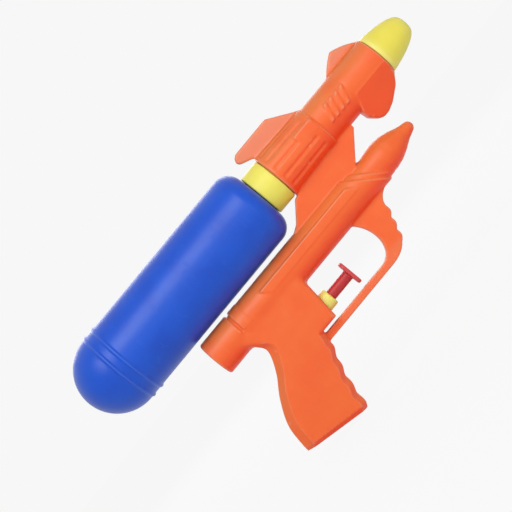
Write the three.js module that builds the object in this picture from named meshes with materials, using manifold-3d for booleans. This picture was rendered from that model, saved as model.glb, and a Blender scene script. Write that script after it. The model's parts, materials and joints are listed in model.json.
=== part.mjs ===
// A toy water squirter: two moulded body halves, a screw-on bottle and a trigger pump.
// Millimetres. +X points to the muzzle, +Z is up, and the body halves meet on the plane Y = 0.
// The origin is where the hand closes round the grip.
import * as THREE from 'three';
import { mergeVertices } from 'three/addons/utils/BufferGeometryUtils.js';
import Module from 'manifold-3d';

const wasm = await Module();
wasm.setup();

// Clearances
const FIT = 0.3; // between fixed neighbours
const RUN = 0.25; // round a sliding piece

// Facets
const ROUND = 28; // sides of the large turned pieces
const SMALL = 12; // sides of pump pieces and bosses
const FINE = 10; // sides of valve pieces and screws

// Bottle
const TANK_R = 22.4;
const TANK_LENGTH = 135; // dome to front face
const TANK_WALL = 1.5;
const TANK_SHOULDER = 9; // radius of the front shoulder
const TANK_RIB = 0.7; // height of the two raised rings
const TANK_RIB_WIDTH = 2;
const TANK_RIB_PITCH = 6;
const NECK_R = 10.2;
const NECK_LENGTH = 8.2;
const NECK_WALL = 1.8;
const TANK_FRONT_GAP = 0.5; // front face to collar
const GASKET = 1.4;
const GASKET_WIDTH = 2.2;

// Collar that the bottle screws into
const COLLAR_R = 13.1;
const THREAD_GAP = 0.4;
const CAP_WALL = 2;
const CAP_SPIGOT_LENGTH = 6; // reach into the bell
const CAP_GROOVE = 1.5;
const VENT_R = 0.6;

// Body: barrels
const WALL = 1.8;
const LOWER_Z = 45.5; // lower axis above the hand
const LOWER_R = 10.3;
const LOWER_REAR_X = -18.4;
const TANK_GAP = 2.3; // bottle to lower barrel
const REAR_RING = 19.6; // length of the rear ring
const RING_STEP = 0.3;
const RING_EDGE = 1.2; // rounding of the barrel's rear rim
const SECOND_RING = 4.2; // length of the ring in front of the groove
const RING_GROOVE = 1;
const GROOVE_WIDTH = 1.8;
const NOSE_X = 105.5; // where the nose swells out
const NOSE_NECK_R = 8.3;
const NOSE_R = 9.1;
const NOSE_LENGTH = 31.3;
const NOSE_TIP_R = 3.3;
const BELL_X = 71.7; // rear face of the upper barrel
const BELL_R = 14.1;
const BELL_LENGTH = 33.3;
const BELL_TAPER = 1;
const BELL_LIP = 2; // plain rim behind the flutes
const FLUTES = 14;
const FLUTE_DEPTH = 0.6;
const FLUTE_RUN = 1; // length over which a flute fades in
const WAIST_R = 12.3;
const WAIST_LENGTH = 23;
const HEAD_R = 12.6;
const HEAD_LENGTH = 22.8;
const FIN_HALF = 1.3;
const FIN_EDGE = 0.6;
const REAR_FIN = 23.3; // top of the rear fin above the axis
const REAR_FIN_OUT = 6.2; // its tip behind the bell
const REAR_FIN_DROP = 5.4; // its tip below its top
const REAR_FIN_TOP = 18.9; // end of its level top in front of the bell's rear face
const HEAD_FIN = 19.7; // top of the head fin above the axis
const HEAD_FIN_CREST = 9.5; // its highest point in front of the head's rear
const KEEL = 22.6; // keel edge below the axis
const KEEL_TAIL = 3.5; // keel behind the head's rear
const KEEL_EDGE = 3.4; // length of its lowest edge
const KEEL_EDGE_X = 2.6; // rear end of that edge in front of the head's rear
const PAD_RISE = 0.7; // raised panels and ribs
const WAIST_RIBS = 4;

// Body: web, grip, pump housing and guard
const WEB_HALF = 4.5;
const WEB_WALL = 1.6;
const WEB_EDGE = 0.8;
const WEB_SLOPE = 1.09; // run forward for each millimetre up
const WEB_REAR = 2; // rear edge behind the bell's rear face
const WEB_FRONT = 11; // front edge in front of the bell
const GRIP_INSET = 0.8; // grip side inside the barrel's side
const BACK_CUT = 4.8; // width of the cut edge along the back of the grip
const FRONT_CUT = 3;
const CUT_DEPTH = 4;
const CUT_START = 0.2; // share of the cut edges under the barrel
const CUT_GROWTH = 2.4; // they are full a third of the way down
const BASE_CUT = 2; // cut edge round the base of the grip
const TANG_X = 0.2;
const TANG_ROOT = 8; // where the hollow of the tang starts behind its deepest point
const TANG_DROP = 18;
const HEEL_X = -23.6;
const HEEL_DROP = 65;
const TOE_X = 12.4;
const TOE_DROP = 73.9;
const BACK_SWELL = 4.6;
const NECK_IN = 15; // grip under the housing, behind the housing's front
const FINGERS = 4;
const FINGER_SWELL = 1.1;
const HOUSING_FRONT_X = 40.6;
const HOUSING_RAKE = 3; // front face leans back by this
const HOUSING_DROP = 32.3;
const HOUSING_EDGE = 2.2;
const HOUSING_LENGTH = 24;
const GUARD_DROP = 34.3; // strap's inner face below the lower axis
const GUARD_BAR = 4;
const GUARD_HALF = 3.5;
const GUARD_EDGE = 0.8;
const GUARD_REACH = 81.4; // front of the finger gap
const GUARD_FOOT = 6.2; // lower end of the bumps in front of the gap
const GUARD_HEAD = 14.8; // upper end of the bumps in front of the gap
const GUARD_BUMPS = 3;
const GUARD_BUMP = 1.3;

// Pump
const PUMP_DROP = 24.2;
const BORE_R = 4.2;
const PUMP_WALL = 1.1;
const PUMP_REAR_X = 3;
const PUMP_END = 1.5;
const FLANGE = 0.7;
const FLANGE_WIDTH = 2;
const BUSH_R = 5.1;
const BUSH_OUT = 5; // bush shown in front of the housing
const BUSH_SPIGOT = 2;
const ROD_R = 3;
const ROD_SHOWN = 13.8;
const PISTON = 5;
const SEAL = 1.7;
const SEAL_DEPTH = 1;
const PAD_HEIGHT = 14;
const PAD_WIDTH = 12;
const PAD_THICK = 2;
const PAD_CORNER = 3;
const RETURN_WIRE = 0.7;
const RETURN_TURNS = 7;
const SADDLE = 1.6;
const SADDLE_PITCH = 11.5;

// Valves
const INLET_X = 7.6;
const TOWER_PITCH = 6.4;
const TOWER_BORE = 1.9;
const TOWER_WALL = 1;
const TOWER_FLOOR = 1.6;
const TOWER_HEIGHT = 8;
const PORT_R = 0.75;
const BALL_R = 1.5;
const BALL_GAP = 0.2;
const PLUG = 2.2;
const NIPPLE_FLANGE = 1.2;
const VALVE_WIRE = 0.35;
const VALVE_TURNS = 3;

// Hoses and the tubes that they push on to
const HOSE_R = 2.3;
const HOSE_WALL = 0.75;
const SPIGOT_R = 1.2;
const SPIGOT_BORE = 0.65;
const SPIGOT_LENGTH = 6;
const NIPPLE_LENGTH = 4;
const HOSE_SIDE = 2.9; // each hose runs this far from the middle plane

// Nozzle
const NOZZLE_R = 11.8;
const NOZZLE_LENGTH = 22.1;
const NOZZLE_WALL = 1.8;
const NOZZLE_SPIGOT = 7.8;
const NOZZLE_GROOVE = 1.2;
const JET_R = 1.9;
const JET_HOLE = 0.6;
const JET_FLANGE = 2;
const JET_RECESS = 0.6; // jet behind the nozzle's tip

// Screws
const SCREW_HEAD_R = 2.6;
const SCREW_HEAD = 1.8;
const SCREW_R = 1.25;
const SCREW_LENGTH = 10;
const SCREW_SEAT_Y = 4;
const BOSS_WALL = 1.1;

// Worked out from the sizes above
const UPPER_Z = LOWER_Z + LOWER_R + TANK_GAP + TANK_R;
const PUMP_Z = LOWER_Z - PUMP_DROP;
const COLLAR_FRONT_X = BELL_X - FIT;
const CAP_X = COLLAR_FRONT_X - CAP_WALL;
const NECK_RIM_X = CAP_X - GASKET - 2 * FIT;
const TANK_FRONT_X = NECK_RIM_X - NECK_LENGTH;
const TANK_REAR_X = TANK_FRONT_X - TANK_LENGTH;
const COLLAR_REAR_X = TANK_FRONT_X + TANK_FRONT_GAP;
const BELL_END_X = BELL_X + BELL_LENGTH;
const HEAD_X = BELL_END_X + WAIST_LENGTH;
const HEAD_END_X = HEAD_X + HEAD_LENGTH;
const NOZZLE_X = HEAD_END_X + FIT;
const CAP_SPIGOT_R = BELL_R - BELL_TAPER - WALL - FIT;
const NOZZLE_SPIGOT_R = HEAD_R - WALL - FIT;
const GRIP_HALF = LOWER_R - GRIP_INSET;
const GRIP_TOP = -Math.sqrt(LOWER_R ** 2 - GRIP_HALF ** 2);
const PUMP_R = BORE_R + PUMP_WALL;
const housingFront = (drop) => {
  return HOUSING_FRONT_X - HOUSING_RAKE * (drop - LOWER_R) / (HOUSING_DROP - LOWER_R);
};
const BUSH_X = housingFront(PUMP_DROP);
const PUMP_FRONT_X = housingFront(PUMP_DROP + PUMP_R + FLANGE) - WALL - FIT;
const SPIGOT_END_X = PUMP_FRONT_X - BUSH_SPIGOT;
const PISTON_X = SPIGOT_END_X - FIT - PISTON;
const BUSH_FRONT_X = BUSH_X + BUSH_OUT;
const PAD_X = BUSH_FRONT_X + ROD_SHOWN;
const OUTLET_X = INLET_X + TOWER_PITCH;
const FLOOR_Z = PUMP_Z + BORE_R + TOWER_FLOOR;
const TOWER_TOP_Z = FLOOR_Z + TOWER_HEIGHT;
const SEAT_Z = TOWER_TOP_Z - PLUG;
const NIPPLE_TOP_Z = TOWER_TOP_Z + FIT + NIPPLE_FLANGE + NIPPLE_LENGTH;
const CAP_SPIGOT_X = COLLAR_FRONT_X + CAP_SPIGOT_LENGTH;
const JET_X = NOZZLE_X - NOZZLE_SPIGOT + FIT;
const HOSE_BORE = HOSE_R - HOSE_WALL;

// Geometry to solid and back

function solid(geometry) {
  const bare = new THREE.BufferGeometry();
  bare.setAttribute('position', geometry.getAttribute('position'));
  bare.setIndex(geometry.getIndex());
  const merged = mergeVertices(bare, 1e-4);
  const corners = merged.getIndex().array;
  const kept = [];
  for (let i = 0; i < corners.length; i += 3) {
    const [a, b, c] = corners.slice(i, i + 3);
    if (a !== b && b !== c && c !== a) kept.push(a, b, c);
  }
  const vertProperties = new Float32Array(merged.getAttribute('position').array);
  const build = (triVerts) => {
    return new wasm.Manifold(new wasm.Mesh({ numProp: 3, vertProperties, triVerts }));
  };
  const made = build(new Uint32Array(kept));
  if (made.volume() > 0) return made;
  return build(new Uint32Array(kept.reverse()));
}

function geometryOf(body) {
  const mesh = body.getMesh();
  const geometry = new THREE.BufferGeometry();
  geometry.setAttribute('position', new THREE.BufferAttribute(mesh.vertProperties, 3));
  geometry.setIndex(new THREE.BufferAttribute(mesh.triVerts, 1));
  geometry.computeVertexNormals();
  return geometry;
}

const union = (bodies) => bodies.reduce((all, body) => all.add(body));

// Basic forms

// Turned about the X axis at height z; the profile is [x, radius] pairs.
function turnX(profile, z, sides = ROUND) {
  const points = profile.map(([x, r]) => new THREE.Vector2(r, x));
  return solid(new THREE.LatheGeometry(points, sides).rotateZ(-Math.PI / 2).translate(0, 0, z));
}

// Turned about a vertical axis at x; the profile is [z, radius] pairs.
function turnZ(profile, x, sides = FINE) {
  const points = profile.map(([z, r]) => new THREE.Vector2(r, z));
  return solid(new THREE.LatheGeometry(points, sides).rotateX(Math.PI / 2).translate(x, 0, 0));
}

// Turned about a cross axis at x, z; the profile is [y, radius] pairs.
function turnY(profile, x, z, sides = FINE) {
  const points = profile.map(([y, r]) => new THREE.Vector2(r, y));
  return solid(new THREE.LatheGeometry(points, sides).translate(x, 0, z));
}

const rod = (from, to, r) => [[from, 0], [from, r], [to, r], [to, 0]];
const ring = (from, to, inner, outer) => {
  return [[from, inner], [from, outer], [to, outer], [to, inner], [from, inner]];
};

// Points on an arc of [x, radius] pairs, angles in degrees from the axis direction.
function arc(x, r, radius, from, to, steps) {
  const points = [];
  for (let i = 0; i <= steps; i += 1) {
    const angle = THREE.MathUtils.degToRad(THREE.MathUtils.lerp(from, to, i / steps));
    points.push([x + radius * Math.cos(angle), r + radius * Math.sin(angle)]);
  }
  return points;
}

// A side outline in x, z, as thick as 2 * half, with its edges rounded off by edge.
function plate(shape, half, edge = 0, rounds = 1, curve = 4) {
  const geometry = new THREE.ExtrudeGeometry(shape, {
    depth: 2 * (half - edge),
    bevelEnabled: edge > 0,
    bevelThickness: edge,
    bevelSize: edge,
    bevelOffset: -edge,
    bevelSegments: rounds,
    curveSegments: curve,
  });
  return solid(geometry.translate(0, 0, edge - half).rotateX(Math.PI / 2));
}

function outline(points) {
  return new THREE.Shape(points.map(([x, z]) => new THREE.Vector2(x, z)));
}

const polygon = (points, half, edge, rounds) => plate(outline(points), half, edge, rounds);

// Rings of points, skinned and closed at both ends.
function loft(rings) {
  const count = rings[0].length;
  const points = rings.flat();
  const faces = [];
  for (let i = 0; i + 1 < rings.length; i += 1) {
    for (let j = 0; j < count; j += 1) {
      const a = i * count + j;
      const b = i * count + (j + 1) % count;
      faces.push(a, b, b + count, a, b + count, a + count);
    }
  }
  const last = (rings.length - 1) * count;
  for (let j = 1; j + 1 < count; j += 1) {
    faces.push(0, j + 1, j, last, last + j, last + j + 1);
  }
  const geometry = new THREE.BufferGeometry().setFromPoints(points);
  geometry.setIndex(faces);
  return solid(geometry);
}

function box(from, to) {
  const size = to.map((value, i) => value - from[i]);
  const middle = to.map((value, i) => (value + from[i]) / 2);
  return solid(new THREE.BoxGeometry(...size).translate(...middle));
}

function polygonRing(radius, sides) {
  const points = [];
  for (let i = 0; i < sides; i += 1) {
    const angle = 2 * Math.PI * i / sides;
    points.push(new THREE.Vector2(radius * Math.cos(angle), radius * Math.sin(angle)));
  }
  return points;
}

// Upper barrel

// The bell's section: shallow flutes between flat lands.
function bellRing(x, radius, depth) {
  const points = [];
  const steps = 4 * FLUTES;
  for (let i = 0; i < steps; i += 1) {
    const angle = 2 * Math.PI * (i - 0.5) / steps;
    const r = i % 4 === 0 ? radius - depth : radius;
    points.push(new THREE.Vector3(x, r * Math.sin(angle), UPPER_Z + r * Math.cos(angle)));
  }
  return points;
}

function bell() {
  const ringAt = (x, depth) => {
    return bellRing(x, THREE.MathUtils.mapLinear(x, BELL_X, BELL_END_X, BELL_R, BELL_R - BELL_TAPER), depth);
  };
  const from = BELL_X + BELL_LIP;
  const to = BELL_END_X - 2 * BELL_LIP;
  return loft([
    bellRing(BELL_X, BELL_R - FLUTE_DEPTH, 0),
    ringAt(BELL_X + FLUTE_DEPTH, 0),
    ringAt(from, 0),
    ringAt(from + FLUTE_RUN, FLUTE_DEPTH),
    ringAt(to - FLUTE_RUN, FLUTE_DEPTH),
    ringAt(to, 0),
    ringAt(BELL_END_X, 0),
  ]);
}

function waistAndHead() {
  const step = HEAD_R - WAIST_R;
  return turnX([
    [BELL_END_X - WALL, 0],
    [BELL_END_X - WALL, WAIST_R],
    [HEAD_X, WAIST_R],
    [HEAD_X + 2 * step, HEAD_R],
    [HEAD_END_X - step, HEAD_R],
    [HEAD_END_X, HEAD_R - step],
    [HEAD_END_X, 0],
  ], UPPER_Z);
}

// Slanted ribs on both sides of the waist, and the raised panel on the bell.
function sideRelief() {
  const bodies = [];
  const pitch = 0.17 * WAIST_LENGTH;
  const lean = 0.3 * WAIST_R;
  const tall = 0.36 * WAIST_R;
  for (let i = 0; i < WAIST_RIBS; i += 1) {
    const x = HEAD_X - (WAIST_RIBS - i) * pitch - 0.02 * WAIST_LENGTH;
    const side = [[-lean / 2, -tall], [lean / 2, tall]];
    const [low, high] = side.map(([dx, dz]) => [x + dx, UPPER_Z + dz]);
    const thick = pitch / 2;
    const corners = [low, [low[0] + thick, low[1]], [high[0] + thick, high[1]], high];
    bodies.push(polygon(corners, WAIST_R + PAD_RISE / 2, PAD_RISE / 2));
  }
  const end = BELL_END_X - PAD_RISE;
  const start = end - 0.38 * BELL_LENGTH;
  const top = UPPER_Z + 0.42 * BELL_R;
  const base = UPPER_Z - 0.06 * BELL_R;
  const panel = [[start, base], [end, base], [end, top], [start, top]];
  bodies.push(polygon(panel, BELL_R - BELL_TAPER + PAD_RISE / 2, PAD_RISE));
  return union(bodies);
}

function rearFin() {
  const root = UPPER_Z + BELL_R - WALL;
  const top = UPPER_Z + REAR_FIN;
  const tip = BELL_X - REAR_FIN_OUT;
  const shape = new THREE.Shape();
  shape.moveTo(BELL_X + 2 * WALL, root);
  shape.lineTo(BELL_X + WALL, UPPER_Z + BELL_R);
  shape.lineTo(tip, top - REAR_FIN_DROP);
  shape.quadraticCurveTo(tip - REAR_FIN_DROP / 2, top - REAR_FIN_DROP / 2, tip + WALL, top);
  shape.lineTo(BELL_X + REAR_FIN_TOP, top);
  shape.lineTo(BELL_END_X - BELL_TAPER, UPPER_Z + BELL_R - BELL_TAPER / 2);
  shape.lineTo(BELL_END_X + WALL, UPPER_Z + WAIST_R - WALL / 2);
  shape.lineTo(BELL_END_X - WALL, root - BELL_TAPER);
  return plate(shape, FIN_HALF, FIN_EDGE);
}

function headFin() {
  const root = UPPER_Z + HEAD_R - WALL;
  const top = UPPER_Z + HEAD_FIN;
  const crest = HEAD_X + HEAD_FIN_CREST;
  const front = HEAD_END_X - FIT;
  const shoulder = top - 2 * FIN_HALF;
  const shape = new THREE.Shape();
  shape.moveTo(HEAD_X - FIN_HALF, root);
  shape.lineTo(HEAD_X - FIN_HALF, UPPER_Z + HEAD_R);
  shape.quadraticCurveTo(crest - 0.6 * HEAD_FIN_CREST, shoulder, crest, top);
  shape.quadraticCurveTo(crest + 0.85 * HEAD_FIN_CREST, shoulder, front, UPPER_Z + HEAD_R - FIN_EDGE);
  shape.lineTo(front, root);
  return plate(shape, FIN_HALF, FIN_EDGE);
}

// Flat flanks that run from a crease on the head down to the thin keel edge.
function keel() {
  const crease = 0.34 * HEAD_R;
  const broad = Math.sqrt(HEAD_R ** 2 - crease ** 2) + PAD_RISE / 2;
  const edgeRear = HEAD_X + KEEL_EDGE_X;
  const edgeFront = edgeRear + KEEL_EDGE;
  const tail = HEAD_X - KEEL_TAIL;
  const front = HEAD_END_X - PAD_RISE;
  const between = (a, b, share) => THREE.MathUtils.lerp(a, b, share);
  const levels = [
    [-crease, HEAD_X + PAD_RISE, front],
    [-HEAD_R, tail, between(front, edgeFront, 0.04)],
    [-between(HEAD_R, KEEL, 0.4), tail, between(front, edgeFront, 0.25)],
    [-between(HEAD_R, KEEL, 0.84), between(tail, edgeRear, 0.55), between(front, edgeFront, 0.7)],
    [-KEEL, edgeRear, edgeFront],
  ];
  const flank = (drop) => {
    return THREE.MathUtils.mapLinear(drop, -crease, -KEEL, broad, FIN_HALF);
  };
  return loft(levels.map(([drop, rear, front]) => {
    const y = flank(drop);
    const z = UPPER_Z + drop;
    return [[rear, -y], [front, -y], [front, y], [rear, y]].map((p) => new THREE.Vector3(p[0], p[1], z));
  }));
}

// Lower barrel

// The barrel's front end is cut off on a slant; what is left lies behind the plane.
function behindSlant(x) {
  const reach = 3 * LOWER_R;
  const far = LOWER_REAR_X - reach;
  const corners = [[x - reach, reach], [x + reach, -reach], [far, -reach], [far, reach]];
  return polygon(corners.map(([px, dz]) => [px, LOWER_Z + dz]), reach, 0);
}

function lowerBarrel() {
  const ringEnd = LOWER_REAR_X + REAR_RING;
  const ringR = LOWER_R + RING_STEP;
  const grooveR = LOWER_R - RING_GROOVE;
  const secondEnd = ringEnd + 2 * GROOVE_WIDTH + SECOND_RING;
  const profile = [
    [LOWER_REAR_X, 0],
    [LOWER_REAR_X, ringR - RING_EDGE],
    [LOWER_REAR_X + RING_EDGE / 3, ringR - RING_EDGE / 3],
    [LOWER_REAR_X + RING_EDGE, ringR],
    [ringEnd, ringR],
    [ringEnd + RING_STEP, grooveR],
    [ringEnd + GROOVE_WIDTH, grooveR],
    [ringEnd + GROOVE_WIDTH + RING_STEP, ringR],
    [secondEnd, ringR],
    [secondEnd + RING_STEP, LOWER_R],
    [NOSE_X + LOWER_R, LOWER_R],
    [NOSE_X + LOWER_R, 0],
  ];
  const slant = NOSE_X - 0.65 * LOWER_R;
  const thick = turnX(profile, LOWER_Z).intersect(behindSlant(slant));
  const lipR = (LOWER_R + NOSE_NECK_R) / 2;
  const lip = turnX(rod(LOWER_REAR_X + REAR_RING, NOSE_X + LOWER_R, lipR), LOWER_Z);
  const panelBase = LOWER_Z - 0.05 * LOWER_R;
  const panelTop = LOWER_Z + 0.48 * LOWER_R;
  const panel = polygon([
    [secondEnd + 1.65 * LOWER_R, panelBase],
    [slant - 0.4 * LOWER_R, panelBase],
    [slant - LOWER_R, panelTop],
    [secondEnd + 1.25 * LOWER_R, panelTop],
  ], LOWER_R + PAD_RISE / 2, PAD_RISE);
  return union([thick, lip.intersect(behindSlant(slant + 0.4 * LOWER_R)), panel]);
}

function noseProfile(inset) {
  const end = NOSE_X + NOSE_LENGTH;
  const tip = NOSE_TIP_R - inset;
  return [
    [NOSE_X - 2 * LOWER_R, 0],
    [NOSE_X - 2 * LOWER_R, NOSE_NECK_R - inset],
    [NOSE_X, NOSE_NECK_R - inset],
    [NOSE_X + 0.16 * NOSE_LENGTH, NOSE_R - 0.2 - inset],
    [NOSE_X + 0.3 * NOSE_LENGTH, NOSE_R - inset],
    [NOSE_X + 0.46 * NOSE_LENGTH, NOSE_R - 0.7 - inset],
    [NOSE_X + 0.62 * NOSE_LENGTH, 0.74 * NOSE_R - inset],
    [NOSE_X + 0.77 * NOSE_LENGTH, 0.5 * NOSE_R - inset],
    [NOSE_X + 0.86 * NOSE_LENGTH, 1.12 * NOSE_TIP_R - inset],
    ...arc(end - tip - inset, 0, tip, 80, 0, 4),
  ];
}

// Web between the barrels, as an outline that runs up and forward; its rear foot spreads on the barrel.
function webOutline(inset) {
  const low = LOWER_Z + LOWER_R / 2;
  const high = UPPER_Z - WAIST_R / 2;
  const rearX = BELL_X - WEB_REAR + inset * 1.5;
  const frontX = BELL_END_X + WEB_FRONT - inset * 1.5;
  const rearZ = UPPER_Z - BELL_R;
  const at = (x, z) => [x + WEB_SLOPE * (z - rearZ), z];
  const foot = LOWER_Z + LOWER_R;
  const footX = at(rearX, foot)[0];
  return [
    [footX - WEB_HALF + inset, low],
    [footX - WEB_HALF / 2 + inset, foot],
    [footX + WALL, foot + WALL],
    at(rearX, rearZ),
    [BELL_X + WALL + inset, rearZ],
    [BELL_X + 2 * WALL + inset, high],
    [frontX, high],
    at(frontX, rearZ),
    at(frontX, low),
  ];
}

// Grip

const rail = (points) => {
  return new THREE.SplineCurve(points.map(([x, drop]) => new THREE.Vector2(x, LOWER_Z - drop)));
};

function backRail() {
  const along = (t, swell) => {
    const x = THREE.MathUtils.lerp(TANG_X, HEEL_X, t) - swell;
    return [x, THREE.MathUtils.lerp(TANG_DROP, HEEL_DROP, t)];
  };
  return rail([
    [TANG_X - TANG_ROOT, -GRIP_TOP],
    [TANG_X - 0.3 * TANG_ROOT, LOWER_R + 0.2 * TANG_ROOT],
    [TANG_X + 0.1 * TANG_ROOT, TANG_DROP],
    along(0.21, 0),
    along(0.4, BACK_SWELL / 2),
    along(0.62, BACK_SWELL),
    [HEEL_X, HEEL_DROP],
  ]);
}

// Straight down inside the housing to the neck, then along the finger side.
function frontRail() {
  const lerp = THREE.MathUtils.lerp;
  const neckX = HOUSING_FRONT_X - NECK_IN;
  const neckDrop = GUARD_DROP + GUARD_BAR;
  const topX = HOUSING_FRONT_X - GUARD_BAR;
  const inside = [0, 0.25, 0.5, 0.75, 1].map((t) => [lerp(topX, neckX, t), lerp(-GRIP_TOP, neckDrop, t)]);
  return rail([
    ...inside,
    [lerp(neckX, TOE_X, 0.62), lerp(neckDrop, TOE_DROP, 0.48)],
    [TOE_X, TOE_DROP],
  ]);
}

// One section across the grip, from the back rail to the front rail, with its corners cut off by a share.
function gripRing(back, front, half, inset, share) {
  const inward = front.clone().sub(back).normalize();
  const backCut = back.clone().addScaledVector(inward, share * (BACK_CUT - inset / 2));
  const frontCut = front.clone().addScaledVector(inward, share * (inset / 2 - FRONT_CUT));
  const low = half - share * CUT_DEPTH;
  const upper = [[back, low], [backCut, half], [frontCut, half], [front, low]];
  const under = upper.map(([p, y]) => [p, -y]).reverse();
  return [...upper, ...under].map(([p, y]) => new THREE.Vector3(p.x, y, p.y));
}

function grip(inset, sections) {
  const back = backRail();
  const front = frontRail();
  const end = 1 - inset / (HEEL_DROP - TANG_DROP) / 2;
  const baseFrom = end - 0.8 * BASE_CUT / (HEEL_DROP - TANG_DROP);
  const fingersFrom = 0.66;
  const rings = [];
  for (let i = 0; i <= sections; i += 1) {
    const atBase = i === sections;
    const t = atBase ? end : baseFrom * i / (sections - 1);
    const b = back.getPoint(t);
    const f = front.getPoint(t);
    const inward = f.clone().sub(b).normalize();
    const finger = Math.max(0, (t - fingersFrom) / (1 - fingersFrom));
    const swell = inset > 0 ? 0 : FINGER_SWELL * Math.sin(Math.PI * FINGERS * finger) ** 2;
    b.addScaledVector(inward, inset);
    f.addScaledVector(inward, swell - inset);
    const half = GRIP_HALF - inset - (atBase ? BASE_CUT : 0);
    rings.push(gripRing(b, f, half, inset, Math.min(1, CUT_START + CUT_GROWTH * t)));
  }
  return loft(rings);
}

function housing(inset) {
  const top = LOWER_Z + GRIP_TOP;
  const bottom = LOWER_Z - HOUSING_DROP + inset;
  const rear = HOUSING_FRONT_X - HOUSING_LENGTH;
  return polygon([
    [rear, bottom],
    [HOUSING_FRONT_X - HOUSING_RAKE - inset, bottom],
    [HOUSING_FRONT_X - inset, LOWER_Z - LOWER_R],
    [HOUSING_FRONT_X - inset, top],
    [rear, top],
  ], GRIP_HALF - inset, inset > 0 ? 0 : HOUSING_EDGE, 2);
}

// Trigger guard: a strap under the finger gap that sweeps up to the barrel, with bumps in front.
function guard() {
  const z = (drop) => LOWER_Z - drop;
  const bottom = GUARD_DROP + GUARD_BAR;
  const inside = LOWER_R * 0.6;
  const tail = HOUSING_FRONT_X - 20;
  const shape = new THREE.Shape();
  shape.moveTo(tail, z(bottom));
  shape.lineTo(GUARD_REACH - 6, z(bottom));
  const bumpFrom = new THREE.Vector2(GUARD_REACH + GUARD_FOOT, z(GUARD_DROP));
  const bumpTo = new THREE.Vector2(GUARD_REACH + GUARD_HEAD, z(LOWER_R + 1.5 * GUARD_BAR));
  shape.quadraticCurveTo(GUARD_REACH + 2, z(bottom), bumpFrom.x, bumpFrom.y);
  const across = new THREE.Vector2(bumpTo.y - bumpFrom.y, bumpFrom.x - bumpTo.x).normalize();
  const steps = 4 * GUARD_BUMPS;
  for (let i = 1; i <= steps; i += 1) {
    const t = i / steps;
    const p = bumpFrom.clone().lerp(bumpTo, t);
    p.addScaledVector(across, GUARD_BUMP * Math.abs(Math.sin(Math.PI * GUARD_BUMPS * t)));
    shape.lineTo(p.x, p.y);
  }
  shape.quadraticCurveTo(GUARD_REACH + 16, z(LOWER_R + 1.2), NOSE_X - 1, z(LOWER_R - 0.6));
  shape.lineTo(NOSE_X - 4, z(inside));
  shape.lineTo(GUARD_REACH - 8, z(inside));
  const turn = (LOWER_R + GUARD_DROP) / 2;
  const lift = (GUARD_DROP - LOWER_R) / 4;
  shape.bezierCurveTo(GUARD_REACH - 3, z(LOWER_R), GUARD_REACH, z(turn - lift), GUARD_REACH, z(turn));
  const start = GUARD_REACH - 10;
  shape.bezierCurveTo(GUARD_REACH, z(turn + lift), GUARD_REACH - 3, z(GUARD_DROP), start, z(GUARD_DROP));
  shape.lineTo(tail, z(GUARD_DROP));
  return plate(shape, GUARD_HALF, GUARD_EDGE, 1, 5);
}

// Body halves

function bodyOutside() {
  return union([
    bell(),
    waistAndHead(),
    sideRelief(),
    rearFin(),
    headFin(),
    keel(),
    polygon(webOutline(0), WEB_HALF, WEB_EDGE),
    lowerBarrel(),
    turnX(noseProfile(0), LOWER_Z),
    grip(0, 25),
    housing(0),
    guard(),
  ]);
}

function bodyHollow() {
  const bellBore = CAP_SPIGOT_R + FIT;
  const waistBore = WAIST_R - WALL;
  const headBore = NOZZLE_SPIGOT_R + FIT;
  const upper = turnX([
    [BELL_X - WALL, 0],
    [BELL_X - WALL, bellBore],
    [BELL_END_X - 2 * WALL, bellBore],
    [BELL_END_X, waistBore],
    [HEAD_X, waistBore],
    [HEAD_X + WALL, headBore],
    [HEAD_END_X + WALL, headBore],
    [HEAD_END_X + WALL, 0],
  ], UPPER_Z);
  const lower = turnX(rod(LOWER_REAR_X + WALL, NOSE_X - LOWER_R, LOWER_R - WALL), LOWER_Z);
  const bushHole = turnX(rod(PUMP_FRONT_X - WALL, BUSH_FRONT_X, BUSH_R + FIT), PUMP_Z, SMALL);
  return union([
    upper,
    lower,
    turnX(noseProfile(WALL), LOWER_Z),
    grip(WALL, 10),
    housing(WALL),
    polygon(webOutline(WEB_WALL), WEB_HALF - WEB_WALL, 0),
    bushHole,
  ]);
}

// Ribs inside the body that hold the cap, the nozzle and the pump.
function bodySeats() {
  const capRib = CAP_SPIGOT_X - CAP_SPIGOT_LENGTH / 2;
  const nozzleRib = NOZZLE_X - NOZZLE_SPIGOT / 2;
  const half = SADDLE / 2;
  const capR = CAP_SPIGOT_R - CAP_GROOVE + FIT;
  const nozzleR = NOZZLE_SPIGOT_R - NOZZLE_GROOVE + FIT;
  const seats = [
    turnX(ring(capRib - half, capRib + half, capR, BELL_R - BELL_TAPER), UPPER_Z),
    turnX(ring(nozzleRib - half, nozzleRib + half, nozzleR, HEAD_R - WALL / 2), UPPER_Z),
  ];
  const front = PUMP_FRONT_X - FLANGE_WIDTH - FIT;
  for (const x of [front - SADDLE_PITCH, front]) {
    const reach = PUMP_R + 2 * WALL;
    const rib = box([x - SADDLE, -GRIP_HALF, PUMP_Z - reach], [x, GRIP_HALF, PUMP_Z + reach]);
    seats.push(rib.subtract(turnX(rod(x - 2 * SADDLE, x + SADDLE, PUMP_R + FIT), PUMP_Z, SMALL)));
  }
  return union(seats);
}

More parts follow.
